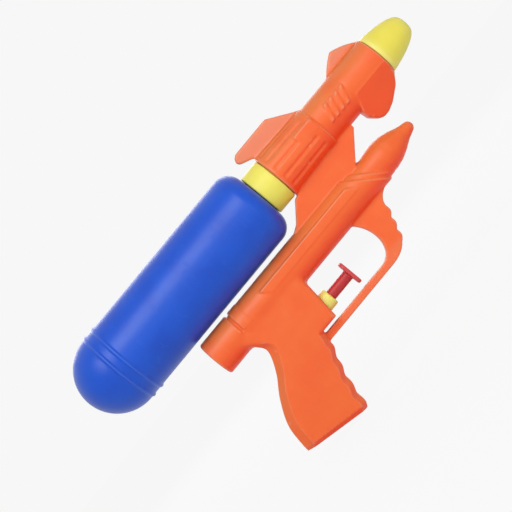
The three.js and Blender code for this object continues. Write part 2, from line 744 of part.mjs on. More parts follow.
// Screw places in x, z: rear barrel, grip heel, grip middle, housing, nose, bell and head.
function screwPlaces() {
  const boss = SCREW_HEAD_R + FIT + BOSS_WALL;
  const heel = backRail().getPoint(0.9).lerp(frontRail().getPoint(0.9), 0.45);
  const middle = backRail().getPoint(0.66).lerp(frontRail().getPoint(0.66), 0.55);
  return [
    [LOWER_REAR_X + 0.45 * REAR_RING, LOWER_Z],
    [heel.x, heel.y],
    [middle.x, middle.y],
    [PUMP_FRONT_X - FLANGE_WIDTH - SADDLE_PITCH / 2, PUMP_Z + PUMP_R + FIT + boss],
    [NOSE_X + 0.22 * NOSE_LENGTH, LOWER_Z],
    [BELL_END_X - 0.28 * BELL_LENGTH, UPPER_Z + HOSE_R + FIT + boss],
    [HEAD_X + 0.2 * HEAD_LENGTH, UPPER_Z + HOSE_R + FIT + boss],
  ];
}

function bodyHalves() {
  const far = 2 * TANK_LENGTH;
  const outside = bodyOutside();
  const hollow = outside.subtract(bodyHollow()).add(bodySeats().intersect(outside));
  const right = box([-far, -far, -far], [far, 0, far]);
  const left = box([-far, 0, -far], [far, far, far]);
  const places = screwPlaces();
  const posts = (r) => union(places.map(([x, z]) => turnY(rod(-far, far, r), x, z, SMALL)));
  const holes = (from, to, r) => union(places.map(([x, z]) => turnY(rod(from, to, r), x, z)));
  const headR = SCREW_HEAD_R + FIT;
  const shankR = SCREW_R + FIT;
  const tip = SCREW_SEAT_Y - SCREW_LENGTH - FIT;
  const rightSolid = outside.intersect(right);
  const leftSolid = outside.intersect(left);
  return {
    right: hollow.intersect(right).add(posts(shankR + BOSS_WALL).intersect(rightSolid))
      .subtract(holes(tip, FIT, shankR)),
    left: hollow.intersect(left).add(posts(headR + BOSS_WALL).intersect(leftSolid))
      .subtract(holes(SCREW_SEAT_Y, far, headR))
      .subtract(holes(-FIT, SCREW_SEAT_Y + FIT, shankR)),
  };
}

function screw([x, z]) {
  const tip = SCREW_SEAT_Y - SCREW_LENGTH;
  const top = SCREW_SEAT_Y + SCREW_HEAD;
  return turnY([
    [tip, 0],
    [tip + SCREW_R, SCREW_R],
    [SCREW_SEAT_Y, SCREW_R],
    [SCREW_SEAT_Y, SCREW_HEAD_R],
    [top - SCREW_HEAD / 2, SCREW_HEAD_R],
    [top, SCREW_HEAD_R - SCREW_HEAD / 2],
    [top, 0],
  ], x, z);
}

// Bottle, cap and gasket

function tank() {
  const domeX = TANK_REAR_X + TANK_R;
  const bulge = (x) => {
    const half = TANK_RIB_WIDTH / 2;
    const crest = TANK_R + TANK_RIB;
    return [[x - half, TANK_R], [x - half / 2, crest], [x + half / 2, crest], [x + half, TANK_R]];
  };
  const shoulderX = TANK_FRONT_X - TANK_SHOULDER;
  const shoulderR = TANK_R - TANK_SHOULDER;
  const inR = TANK_R - TANK_WALL;
  const neckIn = NECK_R - NECK_WALL;
  return turnX([
    ...arc(domeX, 0, TANK_R, 180, 90, 7),
    ...bulge(domeX + TANK_RIB_WIDTH),
    ...bulge(domeX + TANK_RIB_WIDTH + TANK_RIB_PITCH),
    ...arc(shoulderX, shoulderR, TANK_SHOULDER, 90, 0, 4),
    [TANK_FRONT_X, NECK_R],
    [NECK_RIM_X, NECK_R],
    [NECK_RIM_X, neckIn],
    [TANK_FRONT_X - TANK_WALL, neckIn],
    ...arc(shoulderX, shoulderR, TANK_SHOULDER - TANK_WALL, 0, 90, 2),
    ...arc(domeX, 0, inR, 90, 180, 4),
  ], UPPER_Z);
}

function tankCollar() {
  const inner = NECK_R + THREAD_GAP;
  const edge = 0.6;
  const grooveR = CAP_SPIGOT_R - CAP_GROOVE;
  const middle = CAP_SPIGOT_X - CAP_SPIGOT_LENGTH / 2;
  const grooveHalf = SADDLE / 2 + FIT;
  const hollowR = grooveR - CAP_WALL;
  const cap = turnX([
    [CAP_X - SPIGOT_LENGTH, SPIGOT_BORE],
    [CAP_X - SPIGOT_LENGTH, SPIGOT_R],
    [CAP_X, SPIGOT_R],
    [CAP_X, inner],
    [COLLAR_REAR_X, inner],
    [COLLAR_REAR_X, COLLAR_R - edge],
    [COLLAR_REAR_X + edge, COLLAR_R],
    [COLLAR_FRONT_X - edge, COLLAR_R],
    [COLLAR_FRONT_X, COLLAR_R - edge],
    [COLLAR_FRONT_X, CAP_SPIGOT_R],
    [middle - grooveHalf, CAP_SPIGOT_R],
    [middle - grooveHalf, grooveR],
    [middle + grooveHalf, grooveR],
    [middle + grooveHalf, CAP_SPIGOT_R],
    [CAP_SPIGOT_X, CAP_SPIGOT_R],
    [CAP_SPIGOT_X, hollowR],
    [COLLAR_FRONT_X, hollowR],
    [COLLAR_FRONT_X, SPIGOT_R],
    [COLLAR_FRONT_X + SPIGOT_LENGTH, SPIGOT_R],
    [COLLAR_FRONT_X + SPIGOT_LENGTH, SPIGOT_BORE],
    [CAP_X - SPIGOT_LENGTH, SPIGOT_BORE],
  ], UPPER_Z);
  const ventZ = UPPER_Z + (HOSE_R + NECK_R - NECK_WALL) / 2;
  return cap.subtract(turnX(rod(CAP_X - FIT, COLLAR_FRONT_X + FIT, VENT_R), ventZ, FINE));
}

function tankGasket() {
  const from = NECK_RIM_X + FIT;
  return turnX(ring(from, from + GASKET, NECK_R - GASKET_WIDTH, NECK_R), UPPER_Z);
}

// Pump

function pumpCylinder() {
  const front = PUMP_FRONT_X;
  const chamber = PUMP_REAR_X + PUMP_END;
  const barrel = turnX([
    [PUMP_REAR_X, 0],
    [PUMP_REAR_X, PUMP_R],
    [front - FLANGE_WIDTH, PUMP_R],
    [front - FLANGE_WIDTH, PUMP_R + FLANGE],
    [front, PUMP_R + FLANGE],
    [front, 0],
  ], PUMP_Z, SMALL);
  const towers = [INLET_X, OUTLET_X];
  const posts = towers.map((x) => turnZ(rod(PUMP_Z, TOWER_TOP_Z, TOWER_BORE + TOWER_WALL), x));
  const web = box([INLET_X, -TOWER_WALL, PUMP_Z], [OUTLET_X, TOWER_WALL, FLOOR_Z + TOWER_HEIGHT / 2]);
  const cuts = [turnX(rod(chamber, front + WALL, BORE_R), PUMP_Z, SMALL)];
  for (const x of towers) {
    cuts.push(turnZ(rod(FLOOR_Z, TOWER_TOP_Z + WALL, TOWER_BORE), x));
    cuts.push(turnZ(rod(PUMP_Z, FLOOR_Z + FIT, PORT_R), x));
  }
  return union([barrel, web, ...posts]).subtract(union(cuts));
}

function glandBush() {
  const hole = ROD_R + RUN;
  const edge = 1;
  const shoulder = PUMP_FRONT_X + FIT;
  return turnX([
    [SPIGOT_END_X, hole],
    [SPIGOT_END_X, BORE_R - RUN],
    [shoulder, BORE_R - RUN],
    [shoulder, BUSH_R],
    [BUSH_FRONT_X - edge, BUSH_R],
    [BUSH_FRONT_X, BUSH_R - edge],
    [BUSH_FRONT_X, hole],
    [SPIGOT_END_X, hole],
  ], PUMP_Z, SMALL);
}

function sealGroove() {
  const from = PISTON_X + (PISTON - SEAL) / 2 - RUN;
  return { from, to: from + SEAL + 2 * RUN, bottom: BORE_R - RUN - SEAL_DEPTH };
}

function trigger() {
  const pistonR = BORE_R - RUN;
  const groove = sealGroove();
  const plunger = turnX([
    [PISTON_X, 0],
    [PISTON_X, pistonR],
    [groove.from, pistonR],
    [groove.from, groove.bottom],
    [groove.to, groove.bottom],
    [groove.to, pistonR],
    [PISTON_X + PISTON, pistonR],
    [PISTON_X + PISTON, ROD_R],
    [PAD_X + PAD_THICK / 2, ROD_R],
    [PAD_X + PAD_THICK / 2, 0],
  ], PUMP_Z, SMALL);
  return plunger.add(fingerPad());
}

// A thin plate with round corners, square to the plunger.
function fingerPad() {
  const y = PAD_WIDTH / 2 - PAD_CORNER;
  const z = PAD_HEIGHT / 2 - PAD_CORNER;
  const shape = new THREE.Shape();
  shape.absarc(z, y, PAD_CORNER, 0, Math.PI / 2);
  shape.absarc(-z, y, PAD_CORNER, Math.PI / 2, Math.PI);
  shape.absarc(-z, -y, PAD_CORNER, Math.PI, 1.5 * Math.PI);
  shape.absarc(z, -y, PAD_CORNER, 1.5 * Math.PI, 2 * Math.PI);
  const edge = PAD_THICK / 4;
  const geometry = new THREE.ExtrudeGeometry(shape, {
    depth: PAD_THICK - 2 * edge,
    bevelThickness: edge,
    bevelSize: edge,
    bevelOffset: -edge,
    bevelSegments: 1,
    curveSegments: 4,
  });
  return solid(geometry.rotateY(-Math.PI / 2).translate(PAD_X + PAD_THICK - edge, 0, PUMP_Z));
}

function pistonSeal() {
  const groove = sealGroove();
  const outer = BORE_R - RUN / 2;
  return turnX(ring(groove.from + RUN, groove.to - RUN, groove.bottom + RUN, outer), PUMP_Z, SMALL);
}

// A coil spring as one tube, 8 steps of 5 sides to a turn; start and end are along its axis.
class Coil extends THREE.Curve {
  constructor(from, along, length, radius, turns) {
    super();
    Object.assign(this, { from, along, length, radius, turns });
  }

  getPoint(t, target = new THREE.Vector3()) {
    const angle = 2 * Math.PI * this.turns * t;
    const [c, s] = [this.radius * Math.cos(angle), this.radius * Math.sin(angle)];
    const offset = this.along.x !== 0 ? new THREE.Vector3(0, c, s) : new THREE.Vector3(c, s, 0);
    return target.copy(this.from).addScaledVector(this.along, this.length * t).add(offset);
  }
}

function coilSpring(from, along, length, radius, wire, turns) {
  const start = from.clone().addScaledVector(along, wire / 2);
  const path = new Coil(start, along, length - wire, radius, turns);
  const section = new THREE.Shape(polygonRing(wire / 2, 5));
  return solid(new THREE.ExtrudeGeometry(section, {
    steps: 8 * turns,
    bevelEnabled: false,
    extrudePath: path,
  }));
}

function returnSpring() {
  const from = PUMP_REAR_X + PUMP_END + FIT;
  const radius = BORE_R - FIT - RETURN_WIRE;
  const gap = (PISTON_X - FIT - from - RETURN_WIRE) / RETURN_TURNS - RETURN_WIRE;
  console.log(`return spring: least gap between turns ${gap.toFixed(2)} mm`);
  const start = new THREE.Vector3(from, 0, PUMP_Z);
  const along = new THREE.Vector3(1, 0, 0);
  return coilSpring(start, along, PISTON_X - FIT - from, radius, RETURN_WIRE, RETURN_TURNS);
}

// Valves: the inlet ball is sprung up to the nipple, the outlet ball down on to its port.

const ballRise = (hole) => Math.sqrt(BALL_R ** 2 - hole ** 2) + BALL_GAP;
const INLET_BALL_Z = SEAT_Z - ballRise(SPIGOT_BORE);
const OUTLET_BALL_Z = FLOOR_Z + ballRise(PORT_R);

function ball(x, z) {
  return solid(new THREE.SphereGeometry(BALL_R, FINE, 8).rotateX(Math.PI / 2).translate(x, 0, z));
}

function valveSpring(x, from, to) {
  const start = new THREE.Vector3(x, 0, from + BALL_GAP);
  const along = new THREE.Vector3(0, 0, 1);
  const radius = TOWER_BORE - FIT - VALVE_WIRE / 2;
  return coilSpring(start, along, to - from - 2 * BALL_GAP, radius, VALVE_WIRE, VALVE_TURNS);
}

function nipple(x) {
  const flangeZ = TOWER_TOP_Z + FIT;
  return turnZ([
    [SEAT_Z, SPIGOT_BORE],
    [SEAT_Z, TOWER_BORE - FIT],
    [flangeZ, TOWER_BORE - FIT],
    [flangeZ, TOWER_BORE + TOWER_WALL],
    [flangeZ + NIPPLE_FLANGE, TOWER_BORE + TOWER_WALL],
    [flangeZ + NIPPLE_FLANGE, SPIGOT_R],
    [NIPPLE_TOP_Z, SPIGOT_R],
    [NIPPLE_TOP_Z, SPIGOT_BORE],
    [SEAT_Z, SPIGOT_BORE],
  ], x);
}

// Hoses

function hose(route, steps) {
  const path = new THREE.CatmullRomCurve3(route.map((p) => new THREE.Vector3(...p)));
  const section = new THREE.Shape(polygonRing(HOSE_R, 8));
  section.holes.push(new THREE.Path(polygonRing(HOSE_BORE, 8)));
  return solid(new THREE.ExtrudeGeometry(section, { steps, bevelEnabled: false, extrudePath: path }));
}

function dipTube() {
  const low = UPPER_Z - TANK_R + TANK_WALL + 2 * HOSE_R;
  const end = TANK_REAR_X + TANK_R;
  return hose([
    [CAP_X - FIT, 0, UPPER_Z],
    [CAP_X - SPIGOT_LENGTH, 0, UPPER_Z],
    [TANK_FRONT_X - 12, 0, UPPER_Z - 1],
    [TANK_FRONT_X - 40, 0, (UPPER_Z + low) / 2],
    [end + 20, 0, low + 1],
    [end, 0, low],
  ], 12);
}

// From the cap, down through the web and back along the lower barrel to the inlet.
function suctionHose() {
  const webX = BELL_X + 0.42 * BELL_LENGTH;
  return hose([
    [COLLAR_FRONT_X + FIT, 0, UPPER_Z],
    [COLLAR_FRONT_X + SPIGOT_LENGTH, 0, UPPER_Z],
    [webX, 0, UPPER_Z - 5],
    [webX + 3, 0, UPPER_Z - BELL_R],
    [webX, 0, LOWER_Z + LOWER_R - 1],
    [webX - 10, HOSE_SIDE, LOWER_Z + 1.5],
    [OUTLET_X + 30, HOSE_SIDE, LOWER_Z + 1],
    [OUTLET_X, 1.7 * HOSE_SIDE, LOWER_Z + 1.5],
    [INLET_X + 1, 0.5 * HOSE_SIDE, LOWER_Z + 1.5],
    [INLET_X, 0, NIPPLE_TOP_Z + 0.5],
    [INLET_X, 0, NIPPLE_TOP_Z - NIPPLE_LENGTH / 2],
    [INLET_X, 0, NIPPLE_TOP_Z - NIPPLE_LENGTH + FIT],
  ], 26);
}

// From the outlet, forward along the lower barrel and up through the web to the jet.
function outletHose() {
  const webX = BELL_END_X - 0.45 * BELL_LENGTH;
  return hose([
    [OUTLET_X, 0, NIPPLE_TOP_Z - NIPPLE_LENGTH + FIT],
    [OUTLET_X, 0, NIPPLE_TOP_Z - NIPPLE_LENGTH / 2],
    [OUTLET_X, 0, NIPPLE_TOP_Z + 1.5],
    [OUTLET_X + 3, -0.5 * HOSE_SIDE, LOWER_Z + 2],
    [OUTLET_X + 16, -HOSE_SIDE, LOWER_Z + 2],
    [webX - 24, -HOSE_SIDE, LOWER_Z + 1],
    [webX - 5, -0.8 * HOSE_SIDE, LOWER_Z + 3],
    [webX + 4, 0, LOWER_Z + LOWER_R],
    [webX + 11, 0, UPPER_Z - WAIST_R],
    [webX + 22, 0, UPPER_Z - 2],
    [JET_X - SPIGOT_LENGTH, 0, UPPER_Z],
    [JET_X - FIT, 0, UPPER_Z],
  ], 26);
}

// Nozzle and its jet

function nozzle() {
  const rear = NOZZLE_X - NOZZLE_SPIGOT;
  const groove = NOZZLE_X - NOZZLE_SPIGOT / 2;
  const half = SADDLE / 2 + FIT;
  const at = (share) => NOZZLE_X + share * NOZZLE_LENGTH;
  const tip = JET_R + FIT;
  const seat = JET_X + JET_FLANGE + FIT;
  const pocket = NOZZLE_SPIGOT_R - NOZZLE_GROOVE - NOZZLE_WALL;
  return turnX([
    [rear, pocket],
    [rear, NOZZLE_SPIGOT_R],
    [groove - half, NOZZLE_SPIGOT_R],
    [groove - half, NOZZLE_SPIGOT_R - NOZZLE_GROOVE],
    [groove + half, NOZZLE_SPIGOT_R - NOZZLE_GROOVE],
    [groove + half, NOZZLE_SPIGOT_R],
    [NOZZLE_X, NOZZLE_SPIGOT_R],
    [NOZZLE_X, NOZZLE_R - 0.5],
    [at(0.03), NOZZLE_R],
    [at(0.3), 0.93 * NOZZLE_R],
    [at(0.58), 0.815 * NOZZLE_R],
    [at(0.8), 0.67 * NOZZLE_R],
    [at(0.94), 0.5 * NOZZLE_R],
    [at(0.99), 0.35 * NOZZLE_R],
    [at(1), tip + NOZZLE_WALL / 2],
    [at(1), tip],
    [at(0.8), tip],
    [at(0.45), 0.56 * NOZZLE_R],
    [seat, pocket - 1],
    [seat, pocket],
    [rear, pocket],
  ], UPPER_Z);
}

function nozzleJet() {
  const flange = NOZZLE_SPIGOT_R - NOZZLE_GROOVE - NOZZLE_WALL - FIT;
  const end = NOZZLE_X + NOZZLE_LENGTH - JET_RECESS;
  return turnX([
    [JET_X - SPIGOT_LENGTH, SPIGOT_BORE],
    [JET_X - SPIGOT_LENGTH, SPIGOT_R],
    [JET_X, SPIGOT_R],
    [JET_X, flange],
    [JET_X + JET_FLANGE, flange],
    [JET_X + JET_FLANGE, JET_R],
    [end, JET_R],
    [end, JET_HOLE],
    [JET_X - SPIGOT_LENGTH, SPIGOT_BORE],
  ], UPPER_Z, SMALL);
}

// Materials

const plastic = (color, roughness) => new THREE.MeshStandardMaterial({ color, roughness, metalness: 0 });
const orange = plastic(0xf06432, 0.4);
const blue = plastic(0x2341b9, 0.3);
const yellow = plastic(0xe6e155, 0.4);
const red = plastic(0xbe3241, 0.4);
const natural = plastic(0xeceae2, 0.5);
const clear = plastic(0xd5dad6, 0.3);
const rubber = plastic(0x242424, 0.8);
const steel = new THREE.MeshStandardMaterial({ color: 0xb8bcc0, roughness: 0.3, metalness: 1 });

// Assembly

const squirter = new THREE.Group();

function place(name, body, material) {
  const mesh = new THREE.Mesh(geometryOf(body), material);
  mesh.name = name;
  squirter.add(mesh);
}

const halves = bodyHalves();
place('right_shell', halves.right, orange);
place('left_shell', halves.left, orange);
screwPlaces().forEach((at, i) => place(`body_screw_${i + 1}`, screw(at), steel));
place('tank', tank(), blue);
place('tank_collar', tankCollar(), yellow);
place('tank_gasket', tankGasket(), rubber);
place('dip_tube', dipTube(), clear);
place('suction_hose', suctionHose(), clear);
place('outlet_hose', outletHose(), clear);
place('pump_cylinder', pumpCylinder(), natural);
place('gland_bush', glandBush(), yellow);
place('trigger', trigger(), red);
place('piston_seal', pistonSeal(), rubber);
place('return_spring', returnSpring(), steel);
place('inlet_nipple', nipple(INLET_X), natural);
place('outlet_nipple', nipple(OUTLET_X), natural);
place('inlet_ball', ball(INLET_X, INLET_BALL_Z), steel);
place('outlet_ball', ball(OUTLET_X, OUTLET_BALL_Z), steel);
place('inlet_spring', valveSpring(INLET_X, FLOOR_Z, INLET_BALL_Z - BALL_R), steel);
place('outlet_spring', valveSpring(OUTLET_X, OUTLET_BALL_Z + BALL_R, SEAT_Z), steel);
place('nozzle', nozzle(), yellow);
place('nozzle_jet', nozzleJet(), natural);

export default squirter;
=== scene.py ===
"""Looks of a toy water squirter: orange body in two halves, blue bottle, yellow trim, red trigger."""

import json
from math import cos, pi, radians, sin, sqrt

import bmesh
import bpy
from mathutils import Matrix, Vector
from mathutils.geometry import interpolate_bezier


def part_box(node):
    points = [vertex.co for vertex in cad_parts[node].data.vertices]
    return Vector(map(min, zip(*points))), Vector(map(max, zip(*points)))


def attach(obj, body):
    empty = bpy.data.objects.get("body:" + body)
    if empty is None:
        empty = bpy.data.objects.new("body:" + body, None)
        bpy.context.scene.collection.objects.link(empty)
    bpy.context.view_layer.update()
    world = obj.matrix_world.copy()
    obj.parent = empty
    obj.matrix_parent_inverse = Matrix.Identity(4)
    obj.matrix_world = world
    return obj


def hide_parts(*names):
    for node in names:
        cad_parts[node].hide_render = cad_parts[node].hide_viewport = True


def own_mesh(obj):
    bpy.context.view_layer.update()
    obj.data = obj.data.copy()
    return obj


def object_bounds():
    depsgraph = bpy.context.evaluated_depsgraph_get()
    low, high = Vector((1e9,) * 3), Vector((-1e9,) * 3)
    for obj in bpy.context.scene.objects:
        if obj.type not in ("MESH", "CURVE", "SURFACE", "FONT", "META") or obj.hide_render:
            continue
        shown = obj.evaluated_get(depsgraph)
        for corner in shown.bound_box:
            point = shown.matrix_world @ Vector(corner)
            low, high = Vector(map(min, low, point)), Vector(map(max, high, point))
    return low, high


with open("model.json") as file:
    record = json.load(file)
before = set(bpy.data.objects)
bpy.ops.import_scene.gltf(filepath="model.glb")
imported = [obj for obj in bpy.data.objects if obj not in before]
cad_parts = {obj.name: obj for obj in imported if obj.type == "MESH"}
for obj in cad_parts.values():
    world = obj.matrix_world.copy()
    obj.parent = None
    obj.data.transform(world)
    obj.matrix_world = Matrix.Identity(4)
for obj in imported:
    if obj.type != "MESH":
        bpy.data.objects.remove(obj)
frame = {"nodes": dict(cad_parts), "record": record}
cad_low, cad_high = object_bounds()

MM = 0.001

# Sizes in millimetres. One that the part's own source names too has the same value there.
FIT = 0.3
WALL = 1.8
LOWER_Z = 45.5
LOWER_R = 10.3
LOWER_REAR_X = -18.4
REAR_RING = 19.6
RING_STEP = 0.3
RING_EDGE = 1.2
SECOND_RING = 4.2
RING_GROOVE = 1
GROOVE_WIDTH = 1.8
NOSE_X = 105.5
NOSE_NECK_R = 8.3
NOSE_R = 9.1
NOSE_LENGTH = 31.3
NOSE_TIP_R = 3.3
UPPER_Z = 80.5
BELL_X = 71.7
BELL_R = 14.1
BELL_LENGTH = 33.3
BELL_TAPER = 1
BELL_LIP = 2
FLUTES = 14
FLUTE_DEPTH = 0.6
FLUTE_RUN = 1
FLUTE_TURN = 0.2  # radians from the top of the bell
FLUTE_LAND = 0.3
WAIST_R = 12.3
WAIST_LENGTH = 23
HEAD_R = 12.6
HEAD_LENGTH = 22.8
FIN_HALF = 1.3
FIN_EDGE = 0.6
REAR_FIN = 23.3
REAR_FIN_OUT = 6.2
REAR_FIN_DROP = 5.4
REAR_FIN_TOP = 18.9
HEAD_FIN = 19.7
HEAD_FIN_CREST = 9.5
KEEL = 22.6
KEEL_TAIL = 3.5
KEEL_EDGE = 3.4
KEEL_EDGE_X = 2.6
PAD_RISE = 0.7
WAIST_RIBS = 4
WEB_HALF = 4.5
WEB_WALL = 1.6
WEB_SLOPE = 1.09
WEB_REAR = 2
WEB_FRONT = 11
GRIP_HALF = 9.5
BACK_CUT = 4.8
FRONT_CUT = 3
CUT_DEPTH = 4
CUT_START = 0.2
CUT_GROWTH = 2.4
BASE_CUT = 2
TANG_X = 0.2
TANG_ROOT = 8
TANG_DROP = 18
HEEL_X = -23.6
HEEL_DROP = 65
TOE_X = 12.4
TOE_DROP = 73.9
BACK_SWELL = 4.6
NECK_IN = 15
FINGERS = 4
FINGER_SWELL = 1.1
HOUSING_FRONT_X = 40.6
HOUSING_RAKE = 3
HOUSING_DROP = 32.3
HOUSING_EDGE = 2.2
HOUSING_LENGTH = 24
GUARD_DROP = 34.3
GUARD_BAR = 4
GUARD_HALF = 3.5
GUARD_EDGE = 0.8
GUARD_REACH = 81.4
GUARD_FOOT = 6.2
GUARD_HEAD = 14.8
GUARD_BUMPS = 3
GUARD_BUMP = 1.3
SCREW_HEAD_R = 2.6
SCREW_HEAD = 1.8
SCREW_R = 1.25
SCREW_LENGTH = 10
SCREW_SEAT_Y = 4
SCREW_SLOT = 0.32  # half a slot's width
SCREW_RECESS = 1
BOSS_WALL = 1.1
TANK_R = 22.4
TANK_WALL = 1.5
TANK_SHOULDER = 9
TANK_RIB = 0.7
TANK_RIB_WIDTH = 2
TANK_RIB_PITCH = 6
TANK_RIB_FOOT = 1.6  # half of what a ring takes up where it fades into the wall
NECK_R = 10.2
NECK_BORE = 8.4
NECK_LENGTH = 8.2
THREAD_PITCH = 3.2
THREAD_TURNS = 1.25
THREAD_RISE = 0.3
THREAD_FOOT = 0.7  # half its width at the neck
THREAD_CREST = 0.2  # half its width at the top
CAP_WALL = 2
CAP_BORE = 10.6
SEAL_HALF = 1.1  # half the width of the grooves in collar and nozzle
CAP_GROOVE = 1.5
NOZZLE_GROOVE = 1.2
NOZZLE_WALL = 1.8
JET_R = 1.9
JET_FLANGE = 2
BUSH_BORE = 3.25
BUSH_SPIGOT = 2
PISTON_R = 3.95
PISTON = 5
PISTON_GROOVE_R = 2.95
ROD_R = 3
PAD_THICK = 2
PAD_CORNER = 3
PAD_EDGE = 0.6
RETURN_WIRE = 0.7
RETURN_TURNS = 7
VALVE_WIRE = 0.35
VALVE_TURNS = 3
HOSE_R = 2.3
HOSE_WALL = 0.75
HOSE_SIDE = 2.9  # each hose runs this far from the middle plane
SPIGOT_LENGTH = 6
SPIGOT_R = 1.2
SPIGOT_BORE = 0.65
NIPPLE_LENGTH = 4

BELL_END_X = BELL_X + BELL_LENGTH
HEAD_X = BELL_END_X + WAIST_LENGTH
HEAD_END_X = HEAD_X + HEAD_LENGTH
GRIP_TOP = -sqrt(LOWER_R ** 2 - GRIP_HALF ** 2)

# How the pieces are made
SKIN_VOXEL = 0.5
ROOM_VOXEL = 1.0
SKIN_SOFTENING = 3
EDGE_SOFTENING = 8
ROOT_SOFTENING = 40  # where the grip grows out of the barrel
SEAM = 0.06  # each half stops this far from the middle plane
FAR = 300  # outside the body on every side
WELD = 1e-4  # closer points are one
BEVEL_STEPS = 4
CREASE = 40  # degrees; a sharper edge shades as an edge
SCREW_CREASE = 35
ROUND = 96
BOTTLE_ROUND = 128
TRIM_ROUND = 112
SMALL_ROUND = 64
SCREW_ROUND = 48
FLUTE_STEPS = 16
RIB_STEPS = 8  # from a rib's top to its foot
BUMP_STEPS = 14
THREAD_STEPS = 72
PAD_STEPS = 8  # in one corner
GRIP_SECTIONS = 100
ROOM_SECTIONS = 24
WIRE_ROUND = 10
SPRING_STEPS = 24  # in one turn
SPRING_AIR = 0.05  # gap in a spring's end turns, as a share of its wire
HOSE_ROUND = 24
HOSE_STEPS = 8  # between two points of a hose's route


# Forms, each a bmesh in millimetres; all are closed but the skin of a tube

def tidy(bm):
    """Doubles merged and faces turned outwards."""
    bmesh.ops.remove_doubles(bm, verts=bm.verts, dist=WELD)
    bmesh.ops.recalc_face_normals(bm, faces=bm.faces)
    return bm


def turned(profile, z=0.0, steps=ROUND):
    """A solid turned about the X axis at height z, from (x, radius) pairs."""
    bm = bmesh.new()
    verts = [bm.verts.new((x, 0, z + r)) for x, r in profile]
    edges = [bm.edges.new(pair) for pair in zip(verts, verts[1:])]
    bmesh.ops.spin(bm, geom=verts + edges, cent=(0, 0, z), axis=(1, 0, 0),
                   angle=2 * pi, steps=steps, use_merge=True)
    return tidy(bm)


def turned_across(profile, x, z, steps=SCREW_ROUND):
    """A solid turned about a cross axis at x, z, from (y, radius) pairs."""
    bm = turned(profile, 0, steps)
    turn = Matrix.Translation((x, 0, z)) @ Matrix.Rotation(pi / 2, 4, "Z")
    bmesh.ops.transform(bm, matrix=turn, verts=bm.verts)
    return bm


def rod(start, end, r):
    return [(start, 0), (start, r), (end, r), (end, 0)]


def plate(outline, half, edge=0.0):
    """A side outline of (x, z) pairs, as thick as 2 * half, with its long edges rounded by edge."""
    bm = bmesh.new()
    face = bm.faces.new([bm.verts.new((x, -half, z)) for x, z in outline])
    grown = bmesh.ops.extrude_face_region(bm, geom=[face])["geom"]
    verts = [v for v in grown if isinstance(v, bmesh.types.BMVert)]
    bmesh.ops.translate(bm, verts=verts, vec=(0, 2 * half, 0))
    tidy(bm)
    if edge:
        rims = [e for e in bm.edges if abs(e.verts[0].co.y - e.verts[1].co.y) < half]
        bmesh.ops.bevel(bm, geom=rims, offset=edge, affect="EDGES", segments=BEVEL_STEPS,
                        profile=0.5, material=-1, clamp_overlap=True)
    return bm


def loft(rings):
    """Rings of points, skinned one to the next and closed at both ends."""
    bm = bmesh.new()
    loops = []
    for ring in rings:
        verts = [bm.verts.new(p) for p in ring]
        loops.append([bm.edges.new(pair) for pair in zip(verts, verts[1:] + verts[:1])])
    for near, far in zip(loops, loops[1:]):
        bmesh.ops.bridge_loops(bm, edges=near + far)
    for end in (loops[0], loops[-1]):
        bmesh.ops.contextual_create(bm, geom=end)
    return tidy(bm)


def block(low, high):
    bm = bmesh.new()
    bmesh.ops.create_cube(bm, size=1)
    size = [b - a for a, b in zip(low, high)]
    middle = [(a + b) / 2 for a, b in zip(low, high)]
    place = Matrix.Translation(middle) @ Matrix.Diagonal((*size, 1))
    bmesh.ops.transform(bm, matrix=place, verts=bm.verts)
    return bm


def arc(x, r, radius, start, end, steps):
    """(x, radius) pairs on an arc, angles in degrees from the X axis."""
    angles = [radians(start + (end - start) * i / steps) for i in range(steps + 1)]
    return [(x + radius * cos(a), r + radius * sin(a)) for a in angles]


def bend(points, steps=16):
    """(x, z) pairs on one Bezier bend, without its first point."""
    knots = [Vector((x, z)) for x, z in points]
    if len(knots) == 3:
        a, b, c = knots
        knots = [a, a.lerp(b, 2 / 3), c.lerp(b, 2 / 3), c]
    return [tuple(p) for p in interpolate_bezier(*knots, steps + 1)][1:]


def on_curve(p1, p2, v1, v2, share):
    """A point between p1 and p2 on the curve that leaves with v1 and arrives with v2."""
    cubic = (2 * p1 - 2 * p2 + v1 + v2) * share ** 3
    square = (-3 * p1 + 3 * p2 - 2 * v1 - v2) * share ** 2
    return cubic + square + v1 * share + p1


def rail(points):
    """A smooth curve through the points; the share runs from 0 to 1."""
    knots = [Vector((x, LOWER_Z - drop)) for x, drop in points]
    last = len(knots) - 1

    def at(share):
        i = min(int(share * last), last - 1)
        w = share * last - i
        p0, p1, p2, p3 = (knots[min(max(k, 0), last)] for k in range(i - 1, i + 3))
        return on_curve(p1, p2, (p2 - p0) / 2, (p3 - p1) / 2, w)

    return at


def flowing(points):
    """Close points on a smooth route through the given ones."""
    knots = [Vector(p) for p in points]
    knots = [2 * knots[0] - knots[1], *knots, 2 * knots[-1] - knots[-2]]
    route = [knots[1]]
    for p0, p1, p2, p3 in zip(knots, knots[1:], knots[2:], knots[3:]):
        t0, t1, t2 = (sqrt((b - a).length) for a, b in ((p0, p1), (p1, p2), (p2, p3)))
        v1 = ((p1 - p0) / t0 - (p2 - p0) / (t0 + t1) + (p2 - p1) / t1) * t1
        v2 = ((p2 - p1) / t1 - (p3 - p1) / (t1 + t2) + (p3 - p2) / t2) * t1
        route += [on_curve(p1, p2, v1, v2, i / HOSE_STEPS) for i in range(1, HOSE_STEPS + 1)]
    return route


